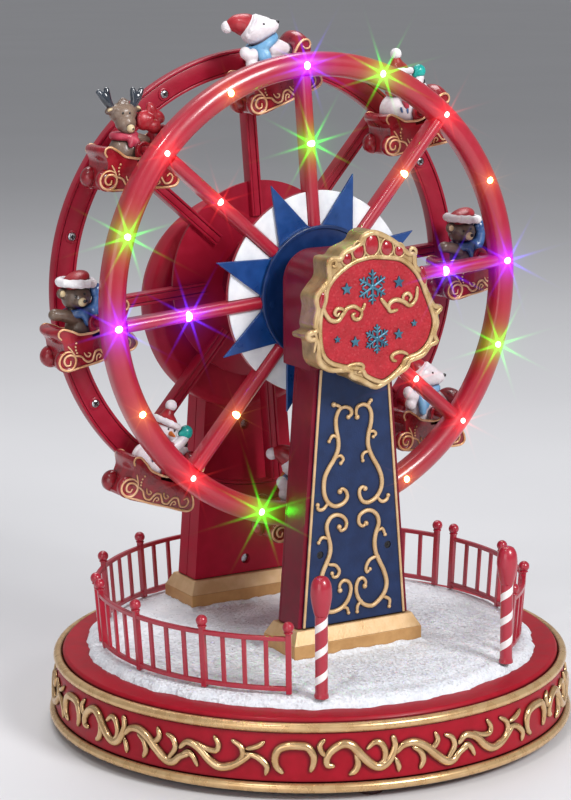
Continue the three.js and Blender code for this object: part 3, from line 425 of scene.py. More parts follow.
RUBBER = painted("rubber", "3a1216", "2b0d10", 0.6, bump=0.1)
BOARD = painted("circuit_board", "1d6a38", "15552c", 0.4)
# Dark crosses for the screws' slots: painted shade where a recess would be.
SLOT_SHADE = painted("slot_shade", "241214", "160b0d", 0.5)


# Floor, light and camera
FLOOR_HALF = 20.0
LIT_POINT = Vector((0, 0, 0.17))
WORLD_LIGHT, WORLD_STRENGTH = (0.88, 0.89, 0.92, 1.0), 0.34
# Each light: azimuth, height, distance, size and power
LIGHTS = {
    "key": (14, 1, 1.3, 0.45, 18), "crest_light": (-58, 1.3, 0.85, 0.14, 3.2),
    "left_fill": (-52, 0.42, 1.4, 0.8, 4), "top": (165, 1.6, 0.7, 0.9, 15),
}


def set_stage():
    mesh = bpy.data.meshes.new("floor")
    corners = [(x * FLOOR_HALF, y * FLOOR_HALF, 0) for x, y in ((-1, -1), (1, -1), (1, 1), (-1, 1))]
    mesh.from_pydata(corners, [], [[0, 1, 2, 3]])
    mesh.materials.append(painted("floor", "d9d9dc", "d5d5d8", 0.7, scale=2.0, bump=0.01))
    placed("floor", mesh)
    world = bpy.data.worlds.new("studio")
    bpy.context.scene.world = world
    world.use_nodes = True
    tree = world.node_tree
    feed(tree, tree.nodes["Background"], {"Color": WORLD_LIGHT, "Strength": WORLD_STRENGTH})
    for name, (azimuth, height, distance, size, power) in LIGHTS.items():
        lamp = bpy.data.lights.new(name, "AREA")
        lamp.energy = power
        lamp.size = size
        thing = placed(name, lamp)
        angle = radians(azimuth)
        thing.location = (distance * sin(angle), -distance * cos(angle), height)
        thing.rotation_mode = "QUATERNION"
        thing.rotation_quaternion = (LIT_POINT - thing.location).to_track_quat("-Z", "Y")


CAMERA_PLACE = (-0.58008, -0.97412, 0.38198)
CAMERA_ANGLES = (-30.199, 11.172, -0.317)
CAMERA_LENS, CAMERA_SENSOR = 106.54, 36.0


def set_camera():
    azimuth, pitch, roll = (radians(angle) for angle in CAMERA_ANGLES)
    back = Vector((sin(azimuth) * cos(pitch), -cos(azimuth) * cos(pitch), sin(pitch)))
    right = level(azimuth)
    up = back.cross(right)
    axes = Matrix((right * cos(roll) + up * sin(roll), up * cos(roll) - right * sin(roll), back))
    lens = bpy.data.cameras.new("camera")
    lens.lens = CAMERA_LENS
    lens.sensor_width = CAMERA_SENSOR
    lens.clip_start = 0.05
    lens.clip_end = 100
    camera = placed("camera", lens)
    camera.matrix_world = shift(*CAMERA_PLACE) @ axes.transposed().to_4x4()
    bpy.context.scene.camera = camera


GLARES = {
    "STREAKS": {"Threshold": 70.0, "Strength": 0.12, "Streaks": 8, "Streaks Angle": 0.3, "Iterations": 4,
                "Fade": 0.905, "Color Modulation": 0.0},
    "FOG_GLOW": {"Threshold": 5.0, "Strength": 0.2, "Size": 0.22},
}


def set_picture():
    """Plain tones, and the glow and rays that the lit lamps throw in the lens."""
    scene = bpy.context.scene
    scene.view_settings.view_transform = "Standard"
    scene.use_nodes = True
    tree = scene.node_tree
    tree.nodes.clear()
    image = tree.nodes.new("CompositorNodeRLayers").outputs["Image"]
    for kind, values in GLARES.items():
        glare = tree.nodes.new("CompositorNodeGlare")
        glare.glare_type = kind
        glare.quality = "HIGH"
        feed(tree, glare, {**values, "Image": image})
        image = glare.outputs["Image"]
    feed(tree, tree.nodes.new("CompositorNodeComposite"), {"Image": image})


# Base
SIDE_SHIFT, SIDE_LEAN = 0.65, 1.3
BASE_WALL, BASE_TOP = 2.3, 2.6
BACK_CUT = (60, 140)
JACK_GAP = 0.25
KNOB_SLOT = (-2.4, 6.4, 1.8)
SNOW_FOOT_INSET, SNOW_FOOT_RISE = 3.0, 0.6
# The hollow in a rubber foot's sole, and its rounded corners
FOOT_SOLE, FOOT_CORNER = 0.4, 0.4
# The frieze's arches round the base from one angle on, but for the gap with the inlet and the switch
FRIEZE_REPEATS, FRIEZE_START, FRIEZE_GAP = 6, -124.0, (66.0, 105.0)
FRIEZE_DEPTH, FRIEZE_SWELL, FRIEZE_STRETCH, FRIEZE_FLAT = 0.5, 1.2, 1.08, 0.95
# Each stroke: degrees from the arch's middle, height from the frieze's middle, and thickness
FRIEZE_STROKES = [
    ([(-2.5, -6), (-3.6, -3.6), (-3.9, 0), (-3.2, 3.6), (-1.4, 5.2), (0.7, 5.4), (2.7, 4.8), (3.9, 1.2),
      (3.9, -2), (3.4, -5)], 3.4),
    ([(6.1, 7.8), (5.2, 5.4), (5.6, 2.6), (6.5, 1)], 2.4),
    ([(7.8, -3.3), (6.7, -2.7), (6.7, 0.5), (7.9, 3.8), (10, 5.9), (11.8, 5), (13.4, 1.4), (15.3, -2.6),
      (17, -4.6), (18.6, -4), (20, -0.9), (20.8, 3.6), (20.4, 7.4)], 3.6),
    ([(15, 3.5), (16.5, 5.9), (17.9, 5.1), (18.7, 1.5), (18.4, -2.1), (17.2, -3.7)], 2.6),
    ([(12.5, 2), (13, -2.2), (12.5, -5.3), (11.4, -7)], 2.8),
    ([(20.8, -1.6), (21.5, -5), (21.5, -7.2)], 2.2),
    ([(20.7, 7.4), (20.7, 3.6), (19.7, -0.7), (17.6, -4.3)], 2.4),
    ([(21, 0.7), (22.6, 3.5), (25, 4.2), (27.5, 1.7), (29.8, -2.5), (32.2, -6.2), (34, -6.3), (35.5, -3.6),
      (37.4, -2.1)], 3.6),
    ([(24.8, 2), (26.4, -0.2), (27, -3.9), (26.3, -7.2)], 2.6),
    ([(29.9, 6.7), (30.4, 3.6), (29.5, 1), (28.4, 0.9)], 2.4),
    ([(32.3, 5), (33.8, 3.5), (34.4, -0.2), (33.3, -3.9), (32.5, -5.9)], 2.4),
    ([(35.5, -3.6), (37.3, -0.9), (38.6, -2.7), (39.5, -6.2)], 2.4),
    ([(35.6, 0.4), (37.3, 3.2), (39.9, 1.4), (42.3, -3.2), (44.5, -5.5), (47.1, -4.5), (49.4, -1.7),
      (51.1, 1)], 3.4),
    ([(39.3, 3.5), (41.6, 1.5), (43.7, 1.3), (44.2, 4), (43.3, 7.1)], 2.4),
    ([(47.2, 6.3), (49, 3.9), (49.4, 0.1), (47.9, -3.2), (45.6, -4.3)], 2.4),
    ([(50.2, 3.2), (52.3, 4.4), (53.8, 6.5)], 2.2),
    ([(49.8, 1.1), (52.3, 0.2), (54.4, -3.4), (54.2, -7)], 2.6),
]


def swelling(path, full, tip):
    """Thickness along a scroll: full in its middle and drawn out at its tips."""
    last = len(path) - 1
    return [full * (tip + (1 - tip) * sin(pi * (i / last)) ** 0.6) for i in range(last + 1)]


def flattened(made, path, out, share):
    """A relief stroke pressed towards its path along one direction."""
    points, faces = made
    pressed = []
    for point in points:
        near = min(path, key=lambda spot: (spot - point).length_squared)
        pressed.append(point - out * (point - near).dot(out) * (1 - share))
    return pressed, faces


def add_base():
    low, high = box_mm("base_shell")
    beads = {}
    for node in ("base_bead_lower", "base_bead_upper"):
        bead_low, bead_high = box_mm(node)
        thick = (bead_high.z - bead_low.z) / 2
        beads[node] = (bead_high.y - thick, (bead_low.z + bead_high.z) / 2)
    (lower_radius, lower), (upper_radius, upper) = beads.values()
    bottom, top = lower_radius - thick, upper_radius - thick
    band_foot, band_head = lower + thick, upper - thick
    side = lower_radius - SIDE_SHIFT
    snow_low, snow_high = box_mm("snow_deck")
    snow_foot, snow_floor = snow_high.y - SNOW_FOOT_INSET, high.z + SNOW_FOOT_RISE
    profile = [(bottom, low.z), (bottom, band_foot), (side, band_foot + 0.3), (side - SIDE_LEAN, band_head),
               (top, band_head + 0.3), (top, upper + thick), (top - 1.1, high.z), (snow_foot, snow_floor),
               (0, snow_floor)]
    ceiling = snow_low.z - BASE_TOP
    inside = [(0, ceiling), (top - BASE_WALL, ceiling), (bottom - BASE_WALL, band_foot),
              (bottom - BASE_WALL, low.z)]
    ring = Form(lathe([inside[-1], *fillet(profile, 0.5, closed=False), *inside]))
    jack, knob = middle("dc_jack"), middle("switch_knob")
    jack_radius = box_mm("dc_jack")[1].x - jack.x + JACK_GAP
    hole = Form(rod(jack_radius, *BACK_CUT)).moved(shift(jack.x, 0, jack.z))
    left, right, half = KNOB_SLOT
    near, far = BACK_CUT
    slot = Form(block((knob.x + left, near, knob.z - half), (knob.x + right, far, knob.z + half)))
    make("base_shell_fine", carve(ring, hole, slot), [BASE_CRIMSON], "base_shell", smooth=30)

    for node, (circle, height) in beads.items():
        section = [(circle + x, height + z) for x, z in arc((0, 0), thick, 0, 337.5, 15)]
        make(node + "_fine", Form(lathe(section, 192, closed=True)), [BEAD_GOLD], node)
    add_frieze(side, band_foot, band_head)
    for index in range(5):
        node = f"rubber_foot_{index + 1}"
        place, high_foot = middle(node), box_mm(node)[1]
        radius, head = high_foot.x - place.x, low.z - 0.3
        outline = [(0, FOOT_SOLE), (radius * 0.5, FOOT_SOLE), (radius * 0.6, 0), (radius * 0.94, 0),
                   (radius, head), (radius * 0.4, head), (radius * 0.4, high_foot.z), (0, high_foot.z)]
        foot = Form(lathe(fillet(outline, FOOT_CORNER, closed=False), ROUND)).moved(shift(place.x, place.y))
        make(f"foot_{index + 1}", foot, [RUBBER], node)


def add_frieze(side, foot, head):
    for repeat in range(FRIEZE_REPEATS):
        frieze = Form()
        start = FRIEZE_START + repeat * 360 / FRIEZE_REPEATS
        for stroke, thick in FRIEZE_STROKES:
            turned = [(start + a) % 360 for a, z in stroke]
            if max(turned) > FRIEZE_GAP[0] and min(turned) < FRIEZE_GAP[1]:
                continue
            path = []
            for across, up in curve(stroke, 5):
                up *= FRIEZE_STRETCH
                radius = side - SIDE_LEAN * (0.5 + up / (head - foot)) + FRIEZE_DEPTH
                path.append(level(radians(start + across)) * radius + Vector((0, 0, (foot + head) / 2 + up)))
            relief = tube(path, swelling(path, thick * FRIEZE_SWELL / 2, 0.5), 14)
            out = level(radians(start + sum(a for a, z in stroke) / len(stroke)))
            frieze.add(flattened(relief, path, out, FRIEZE_FLAT))
        if frieze.points:
            make(f"frieze_{repeat + 1}", frieze, [GOLD], smooth=60)


# Snow
SNOW_ROWS, SNOW_STEPS = 110, 300
SNOW_SHELF, SNOW_SHELF_DROP = 99.0, 0.9
SNOW_SLOPE_START, SNOW_SLOPE = 0.85, 2.2
SNOW_PILE, SNOW_PILE_REACH = 2.2, 4.0
# Its swell: height and fineness, coarse and small
SNOW_SWELL = ((0.34, 0.09), (0.16, 0.45))
SNOW_INSET, SNOW_SINK = 2.3, 0.55
# Its edge waves in and out: height of the waves, how many there are, and where in the noise they lie
SNOW_WAVES = ((2.0, 3.0, 3.1), (1.5, 11, 7.7), (0.7, 34, 1.7))


def snow_edge(angle, full):
    for swell, pitch, layer in SNOW_WAVES:
        full += swell * noise.noise(level(angle) * pitch + Vector((0, 0, layer)))
    return full - SNOW_INSET


def snow_height(x, y, radius, share, plinths, deck_low):
    """The height of the snow at one spot, share of the way to its edge, with drifts against the plinths."""
    spot = Vector((x, y, 0))
    top = plinths[0][0].z
    inner = clamped((SNOW_SHELF - radius) / 5)
    height = top - SNOW_SINK - SNOW_SHELF_DROP * (1 - inner)
    height += sum(swell * noise.noise(spot * fineness) for swell, fineness in SNOW_SWELL)
    lumps = 0.75 + 0.5 * noise.noise(spot * 0.16)
    for low, high in plinths:
        off = max(low.x - x, x - high.x, low.y - y, y - high.y)
        if off > -2:
            height += SNOW_PILE * lumps * max(0.0, 1 - max(off, 0) / (SNOW_PILE_REACH * lumps)) ** 1.5
        else:
            height = top - 1
    edge = max(0.0, (share - SNOW_SLOPE_START) / (1 - SNOW_SLOPE_START))
    return height - (height - deck_low - 0.3) * edge ** SNOW_SLOPE


def add_snow():
    low, high = box_mm("snow_deck")
    plinths = [box_mm("front_tower_plinth"), box_mm("rear_tower_plinth")]
    rings = []
    for row in range(1, SNOW_ROWS + 1):
        share, ring = row / SNOW_ROWS, []
        for i in range(SNOW_STEPS):
            angle = TURN * i / SNOW_STEPS
            radius = snow_edge(angle, high.y) * (1 - (1 - share) ** 1.35)
            x, y = radius * cos(angle), radius * sin(angle)
            ring.append((x, y, snow_height(x, y, radius, share, plinths, low.z)))
        rings.append(ring)
    points, faces = skin(rings)
    middle_top, middle_bottom = len(points), len(points) + 1
    points += [(0, 0, plinths[0][0].z - 0.35), (0, 0, low.z)]
    for first, spot in ((0, middle_top), (middle_top - SNOW_STEPS, middle_bottom)):
        faces += [[first + i, first + (i + 1) % SNOW_STEPS, spot] for i in range(SNOW_STEPS)]
    make("snow_cover", Form((points, faces[2:])), [SNOW], "snow_deck", smooth=60)


# Fence
FENCES = {"fence_front_right": -54.0, "fence_rear_right": 19.5, "fence_rear_left": 93.0,
          "fence_front_left": 166.5}
FENCE_SPAN = 67.5
FENCE_PANELS, FENCE_BALUSTERS = 3, 3
FENCE_FOOT_RADIUS, FENCE_LEAN, FENCE_RISE = 103.7, 2.3, 31.8
RAILS, RAIL_HALF = (2.2, 26.3), 1.05
# Posts and balusters: foot, head, width and depth
POST, BALUSTER = (-0.2, FENCE_RISE - 2.2, 2.7, 2.7), (*RAILS, 2.1, 1.5)
BALL_RADIUS, COLLAR, COLLAR_DROP = 2.7, (2.2, 2.2, 0.7), 2.6


def add_fence(node, start):
    foot = box_mm(node)[0].z
    bars, knobs = Form(), Form()

    def circle(height):
        return FENCE_FOOT_RADIUS + FENCE_LEAN * height / FENCE_RISE

    def spot(angle, height):
        return level(angle) * circle(height) + Vector((0, 0, foot + height))

    count = FENCE_PANELS * (FENCE_BALUSTERS + 1)
    for place in range(count + 1):
        angle = radians(start + FENCE_SPAN * place / count)
        post = place % (FENCE_BALUSTERS + 1) == 0
        low, high, wide, deep = POST if post else BALUSTER
        bars.add(bar(spot(angle, low), spot(angle, high), wide, deep, level(angle)))
        if post:
            knobs.add(ball(spot(angle, FENCE_RISE - COLLAR_DROP), COLLAR))
            knobs.add(ball(spot(angle, FENCE_RISE), (BALL_RADIUS,) * 3))
    for height in RAILS:
        outside = arc((0, 0), circle(height) + RAIL_HALF, start, start + FENCE_SPAN, FENCE_PANELS * 14)
        inside = arc((0, 0), circle(height) - RAIL_HALF, start + FENCE_SPAN, start, FENCE_PANELS * 14)
        bars.add(prism(outside + inside, foot + height - RAIL_HALF, foot + height + RAIL_HALF, "Z"))
    make(node + "_bars", bars, [CRIMSON], node, bevel=0.35)
    make(node + "_knobs", knobs, [CRIMSON])


# Striped poles at the entrance
STRIPE_PITCH = 12.1
STRIPE_ROWS, STRIPE_WHITE_ROWS, STRIPE_COLUMNS = 13, 4, 40
POLE_RADIUS, POLE_FOOT_RADIUS, POLE_RISE = 2.95, 3.35, 38.5
# The club-shaped knob: [radius, height over the shaft]
POLE_KNOB = [(3.2, 0.5), (3.9, 3.2), (4.7, 7.5), (4.9, 10.5), (4.5, 14.5), (3.2, 17.2)]


def add_pole(node):
    """A pole whose mesh winds up it, so that its red and white stripes follow the faces."""
    low, high = box_mm(node)
    bottom, top = low.z, low.z + POLE_RISE
    row_height = STRIPE_PITCH / STRIPE_ROWS
    rows = int((top - bottom) / row_height) + STRIPE_ROWS + 2
    points, faces, looks = [], [], []
    for row in range(rows + 1):
        for turned in range(STRIPE_COLUMNS):
            share = turned / STRIPE_COLUMNS
            height = bottom + row_height * (row - STRIPE_ROWS) + STRIPE_PITCH * share
            height = max(bottom, min(top, height))
            radius = POLE_FOOT_RADIUS if height < bottom + 1.2 else POLE_RADIUS
            points.append((radius * cos(TURN * share), radius * sin(TURN * share), height))
    for row in range(rows):
        for turned in range(STRIPE_COLUMNS):
            step = 1
            if turned == STRIPE_COLUMNS - 1:
                step = STRIPE_ROWS * STRIPE_COLUMNS - turned
                if row + STRIPE_ROWS >= rows:
                    continue
            a, b = row * STRIPE_COLUMNS + turned, (row + 1) * STRIPE_COLUMNS + turned
            corners = [a, a + step, b + step, b]
            heights = [points[c][2] for c in corners]
            if max(heights) - min(heights) < 1e-6:
                continue
            faces.append(corners)
            striped = bottom + 5 < sum(heights) / 4 < top and row % STRIPE_ROWS < STRIPE_WHITE_ROWS
            looks.append(1 if striped else 0)
    form = Form((points, faces))
    form.looks = looks
    knob = [(POLE_RADIUS, top), *((r, top + z) for r, z in POLE_KNOB), (1.5, high.z - 0.35), (0, high.z)]
    knob = [(max(0.0, r), z) for r, z in curve(knob, 5)][:-1]
    form.add(lathe([(0, top - 1), (POLE_RADIUS - 0.05, top - 1), *knob, (0, high.z)], STRIPE_COLUMNS))
    form.moved(shift(middle(node).x, middle(node).y))
    make(node + "_fine", form, [CRIMSON, POLE_WHITE], node, smooth=50)


# Towers
COLUMN_TAPER = 0.0793
HEAD_BOTTOM, HEAD_HALF, HEAD_CORNER, HEAD_DEPTH = 182.5, 27.3, 15.0, 6.4
PLINTH_BAND, PLINTH_SHRINK = 6.9, 3.4
BEARING_HOLE = 6.3


def column(half, bottom, top):
    narrow = half - COLUMN_TAPER * (top - bottom)
    return [(-half, bottom), (half, bottom), (narrow, top), (-narrow, top)]


def add_plinth(node):
    low, high = box_mm(node)
    form = Form(block(low, (high.x, high.y, low.z + PLINTH_BAND)))
    rings = []
    for shrink, height in ((0, low.z + PLINTH_BAND - 0.2), (PLINTH_SHRINK, high.z)):
        x0, y0, x1, y1 = low.x + shrink, low.y + shrink, high.x - shrink, high.y - shrink
        rings.append([(x0, y0, height), (x1, y0, height), (x1, y1, height), (x0, y1, height)])
    form.add(skin(rings), 1)
    make(node + "_fine", form, [BAND_GOLD, PALE_GOLD], node, bevel=0.5, steps=3)


def add_front_tower():
    low, high = box_mm("front_tower_shell")
    back_low, back_high = box_mm("front_tower_back")
    column_front = low.y + HEAD_DEPTH
    side, shoulder = HEAD_HALF - HEAD_CORNER, high.z - HEAD_CORNER
    head = [(HEAD_HALF, HEAD_BOTTOM), *arc((side, shoulder), HEAD_CORNER, 0, 90, 12),
            *arc((-side, shoulder), HEAD_CORNER, 90, 180, 12), (-HEAD_HALF, HEAD_BOTTOM)]
    foot = column(high.x, low.z, HEAD_BOTTOM)
    outline = [*foot[:3], *head, foot[3]]
    shell = Form(prism(outline, column_front, high.y))
    shell = carve(shell, Form(prism(head, low.y, column_front + 1)), how="UNION")
    make("front_tower_casing", shell, [SHADED_TOWER_CRIMSON], "front_tower_shell", bevel=0.9, steps=3)
    hole = Form(rod(BEARING_HOLE, -60, 0, 48)).moved(shift(z=middle("front_bearing").z))
    cover = carve(Form(prism(outline, back_low.y, back_high.y)), hole)
    make("front_tower_cover", cover, [SHADED_TOWER_CRIMSON], "front_tower_back", bevel=0.4)


# The panel's scrolls: strokes of [across, height] on its face, and thickness
PANEL_STROKES = [
    ([(-11.6, 164.1), (-9.1, 163.3), (-8, 162), (-9.3, 160.3), (-10.4, 157), (-10.2, 152.1), (-9.2, 147),
      (-9.3, 142.5), (-11.2, 138.2), (-14.2, 134.1), (-16.5, 130), (-17.2, 125.6), (-16.8, 121.1),
      (-14.7, 117.1), (-10.9, 114.9), (-6.6, 115.7), (-4.2, 118.4), (-4.9, 121.5), (-7, 122.9),
      (-8.3, 121.7)], 2.3),
    ([(-8, 162), (-4.9, 162.3), (-2.3, 160.9), (-1.9, 158.6), (-3.6, 157.3)], 2),
    ([(1.3, 156.8), (0.7, 159.1), (1.5, 161.6), (4.5, 162.6), (7.5, 161.3), (9.2, 157.8), (9, 153),
      (7.8, 148.7), (7.3, 144.3), (8, 140.5), (10.1, 136.1), (13.2, 130.9), (15.1, 125.8), (14.9, 120.9),
      (12.3, 116.7), (8, 114.6), (4.6, 115.4), (2.8, 118.3), (2.8, 121.3), (4.6, 122.5), (5.8, 121.5)], 2.3),
    ([(7.3, 161.6), (8, 163), (9, 164.1)], 1.9),
    ([(-9.8, 148.4), (-12.3, 149.2), (-14.2, 146.7)], 1.7),
    ([(-10, 138.9), (-7.8, 139.1), (-6.4, 137.1), (-7.8, 135.4)], 1.7),
    ([(8, 148.8), (10.4, 149), (11.8, 147.5), (10.3, 146.3)], 1.7),
    ([(8.2, 139.6), (5.4, 139.1), (4.2, 137.5), (4.5, 135.3)], 1.7),
    ([(-20.6, 116.7), (-20.2, 114.5), (-17.6, 114.3), (-15, 116.7)], 1.9),
    ([(12.6, 116.6), (15.2, 114), (18, 114.6), (18.9, 116.6)], 1.9),
    ([(-8.7, 104.5), (-7.7, 102.6), (-5.2, 103.6), (-4.7, 106.6), (-6.7, 109.3), (-10.2, 110.6),
      (-13.6, 109.5), (-15.6, 105.9), (-14.9, 101), (-13.7, 96.4), (-13.9, 92.1), (-15.7, 87.9),
      (-17.7, 83.8), (-19.2, 78.8), (-18.9, 73), (-18.2, 67.2), (-16, 64.2), (-12.2, 63.2), (-7.2, 64.6),
      (-3.7, 68.1), (-2.2, 72.8), (-3.2, 76.5), (-6.2, 77.8), (-8.4, 75.9), (-8.3, 73.2)], 2.3),
    ([(6.4, 104.3), (4.4, 103.2), (2.3, 105.2), (2.8, 108.7), (6.4, 110.6), (9.9, 110), (12.7, 107.4),
      (13.5, 103.3), (11.9, 98.7), (11.2, 93.9), (12, 88.9), (14, 84.6), (16.6, 79.4), (18.1, 73.8),
      (17.1, 69), (13.6, 65.1), (9.5, 63), (4.9, 64.6), (1.9, 68.2), (0.8, 72.8), (1.9, 76.6), (4.4, 77.6),
      (6.2, 75.5), (5.7, 73.4)], 2.3),
    ([(-14.5, 99.5), (-18.1, 100.5), (-20.1, 98.2)], 1.7),
    ([(-15.4, 88), (-14.2, 86.8), (-10.7, 85.9), (-8.7, 83), (-9.7, 80.5), (-11.9, 80.3), (-12.7, 82.2)],
      1.8),
    ([(12.6, 99.6), (15.5, 100.6), (17.2, 97.4)], 1.7),
    ([(13.2, 87), (12, 87.2), (8.4, 85.9), (6.4, 82.6), (6.9, 80.1), (8.6, 81.4)], 1.8),
    ([(-7.2, 64.6), (-4.5, 64), (-3.5, 61.4)], 1.7),
    ([(3.6, 66.2), (1.6, 64), (1.4, 61.2)], 1.7),
    ([(15.4, 66.8), (17.8, 66), (19.9, 64.4), (19.7, 61.2)], 1.8),
]
PANEL_SCREWS = [(-19, 92), (19, 92)]
PANEL_SINK, STROKE_RISE = 0.6, 0.3
STRIP_WIDE, STRIP_DEEP = 1.3, 1.1


def add_strokes(form, strokes, face, steps, tip, sides):
    """Add strokes of [across, up] as swelling scrolls on the plane at face."""
    for stroke, thick in strokes:
        path = curve([(x, face, z) for x, z in stroke], steps)
        form.add(tube(path, swelling(path, thick / 2, tip), sides))


def add_cross(form, depth, lean, reach, deep, at):
    for angle in (radians(lean), radians(lean + 90)):
        centre, out = Vector((0, depth, 0)), upright(angle) * reach
        form.add(bar(centre - out, centre + out, 0.45, deep, (0, 1, 0)), at=at)


def add_panel():
    low, high = box_mm("front_tower_panel")
    face = low.y + PANEL_SINK
    outline = column(high.x, low.z, high.z)
    holes = [Form(rod(1.8, low.y - 2, high.y + 1)).moved(shift(x, 0, z)) for x, z in PANEL_SCREWS]
    plate = carve(Form(prism(outline, face, high.y)), *holes)
    make("tower_panel", plate, [NAVY], "front_tower_panel", bevel=0.15)
    strips, scrolls, screws = Form(), Form(), Form()
    for side in (-1, 1):
        foot, top = ((side * (x - STRIP_WIDE / 2), face - 0.1, z) for x, z in outline[1:3])
        strips.add(bar(foot, top, STRIP_WIDE, STRIP_DEEP, (0, 1, 0)))
    # Black screw heads in the panel's holes; their black is partly painted shade for the holes.
    for x, z in PANEL_SCREWS:
        screws.add(rod(1.7, face + 0.5, face + 1), at=shift(x, 0, z))
        add_cross(screws, face + 0.5, 45, 1.2, 0.3, shift(x, 0, z))
    add_strokes(scrolls, PANEL_STROKES, face - STROKE_RISE, 5, 0.6, 10)
    for stroke, thick in PANEL_STROKES:
        for x, z in (stroke[0], stroke[-1]):
            scrolls.add(ball((x, face - STROKE_RISE, z), (thick * 0.56,) * 3, steps=16, rows=10))
    make("panel_strips", strips, [PALE_GOLD], bevel=0.4)
    make("panel_scrolls", scrolls, [PALE_GOLD], smooth=60)
    make("panel_screws", screws, [BLACK])


# Sign
SIGN_OUTLINE_SHARES = [
    (-0.07, 1), (-0.2, 0.98), (-0.28, 0.93), (-0.51, 0.89), (-0.6, 0.85), (-0.7, 0.85), (-0.78, 0.83),
    (-0.78, 0.73), (-0.89, 0.67), (-0.99, 0.61), (-0.97, 0.54), (-1.01, 0.44), (-1, 0.4), (-1.12, 0.38),
    (-1.1, 0.35), (-0.98, 0.33), (-0.94, 0.2), (-0.77, 0.14), (-0.44, 0.12), (-0.4, 0.08), (-0.24, 0.05),
    (-0.04, 0), (0.09, 0), (0.37, 0.06), (0.54, 0.1), (0.6, 0.14), (0.82, 0.17), (0.95, 0.23), (1.06, 0.25),
    (1.02, 0.3), (1.07, 0.37), (1.05, 0.43), (1.13, 0.47), (1.01, 0.49), (0.91, 0.57), (0.85, 0.63),
    (0.84, 0.7), (0.69, 0.76), (0.66, 0.84), (0.56, 0.85), (0.42, 0.9), (0.25, 0.95), (0.06, 0.99),
]
SIGN_FIELD_SHARES = [
    (-0.51, 0.76), (-0.33, 0.8), (-0.08, 0.82), (0.18, 0.81), (0.41, 0.79), (0.6, 0.73), (0.72, 0.66),
    (0.81, 0.57), (0.88, 0.5), (0.96, 0.4), (0.93, 0.32), (0.85, 0.25), (0.69, 0.2), (0.5, 0.18),
    (0.44, 0.14), (0.34, 0.1), (0.15, 0.05), (0.02, 0.06), (-0.15, 0.1), (-0.24, 0.15), (-0.5, 0.17),
    (-0.74, 0.21), (-0.85, 0.28), (-0.88, 0.4), (-0.86, 0.5), (-0.79, 0.58), (-0.76, 0.65), (-0.66, 0.71),
]
SIGN_HALF = 33.0
# How deep the slab, the tubes on it, and the cuts for the field, cells and lenses lie behind its face
SLAB_SINK, RELIEF_SINK = 0.9, 0.95
CUT_START, FIELD_CUT, CELL_CUT, SLOT_CUT = 2, 3, 2.6, 2.2
FIELD_SHARE = 0.985
# Each crown cell: middle, half width and half height
SIGN_CELLS = [((-15.6, 235.6), 2.5, 3), ((-9.4, 238.5), 3, 3.8), ((-2.2, 240.9), 3.7, 5.1),
              ((6, 239), 3.1, 3.7), ((12.8, 237.2), 2.4, 2.7)]
SIGN_SCROLLS = [
    ([(-27.4, 221.9), (-28.4, 217.6), (-28.4, 214.4), (-27.2, 211), (-24.3, 207.8), (-20.5, 207.4),
      (-18, 209.9), (-15.5, 212.7), (-11.6, 213.2), (-7.8, 211.3), (-6, 213.8)], 2.3),
    ([(-16.8, 211.3), (-18.4, 212.6), (-21, 212.8), (-22.2, 210.9), (-20.9, 209.7), (-19.8, 210.8)], 1.9),
    ([(-7.9, 211.4), (-7.7, 209.2), (-9, 207.3), (-11.4, 207.3), (-12.7, 209.2), (-11.3, 210)], 1.9),
    ([(22.9, 219.2), (22.2, 214.2), (18.9, 211.2), (15.5, 213.1), (12, 214.4), (8.8, 214), (6.9, 211.8),
      (8, 209.3), (11.6, 209.6)], 2.3),
    ([(15, 213.7), (15.2, 216), (17.6, 217), (19.4, 215.2), (18.6, 213.5)], 1.9),
    ([(2.9, 215.6), (4.6, 213.6), (6.2, 211.6), (8.2, 209.2)], 2.2),
    ([(-16.5, 185.2), (-12.6, 186.2), (-8.6, 186), (-6.8, 184.6), (-8, 182.8), (-9.6, 182.2)], 2),
    ([(17.6, 188.2), (14.4, 189.6), (11, 189.4), (8.8, 188), (9.6, 186.2), (11.2, 185.6)], 2),
    ([(-25.6, 229.9), (-25.6, 233.4), (-24.4, 235.6), (-22.6, 235.9), (-21.4, 234.3), (-22, 232.6),
      (-23.4, 232.8)], 2),
    ([(18.6, 234.6), (18.8, 237), (20.2, 238), (21.8, 236.8), (21.6, 234.6), (20.4, 234.2)], 1.9),
    ([(-35.8, 200.4), (-36.2, 202), (-34.6, 203.2), (-32.6, 202), (-31.6, 199.4)], 2),
    ([(-33.2, 194), (-32.4, 198), (-32.3, 203), (-31.6, 206.6), (-30.2, 210.4), (-31.4, 214.4)], 1.6),
]
SIGN_LENSES = [((-29.4, 217.6), 1.3, 4, -12), ((25.9, 224.9), 1.7, 4.6, 14)]


def egg(centre, wide, tall, swell):
    """An oval of [across, up], a little fuller at its top."""
    turns = [TURN * i / 28 for i in range(28)]
    return [(centre[0] + wide * cos(a), centre[1] + tall * sin(a) * (1 + swell * sin(a))) for a in turns]


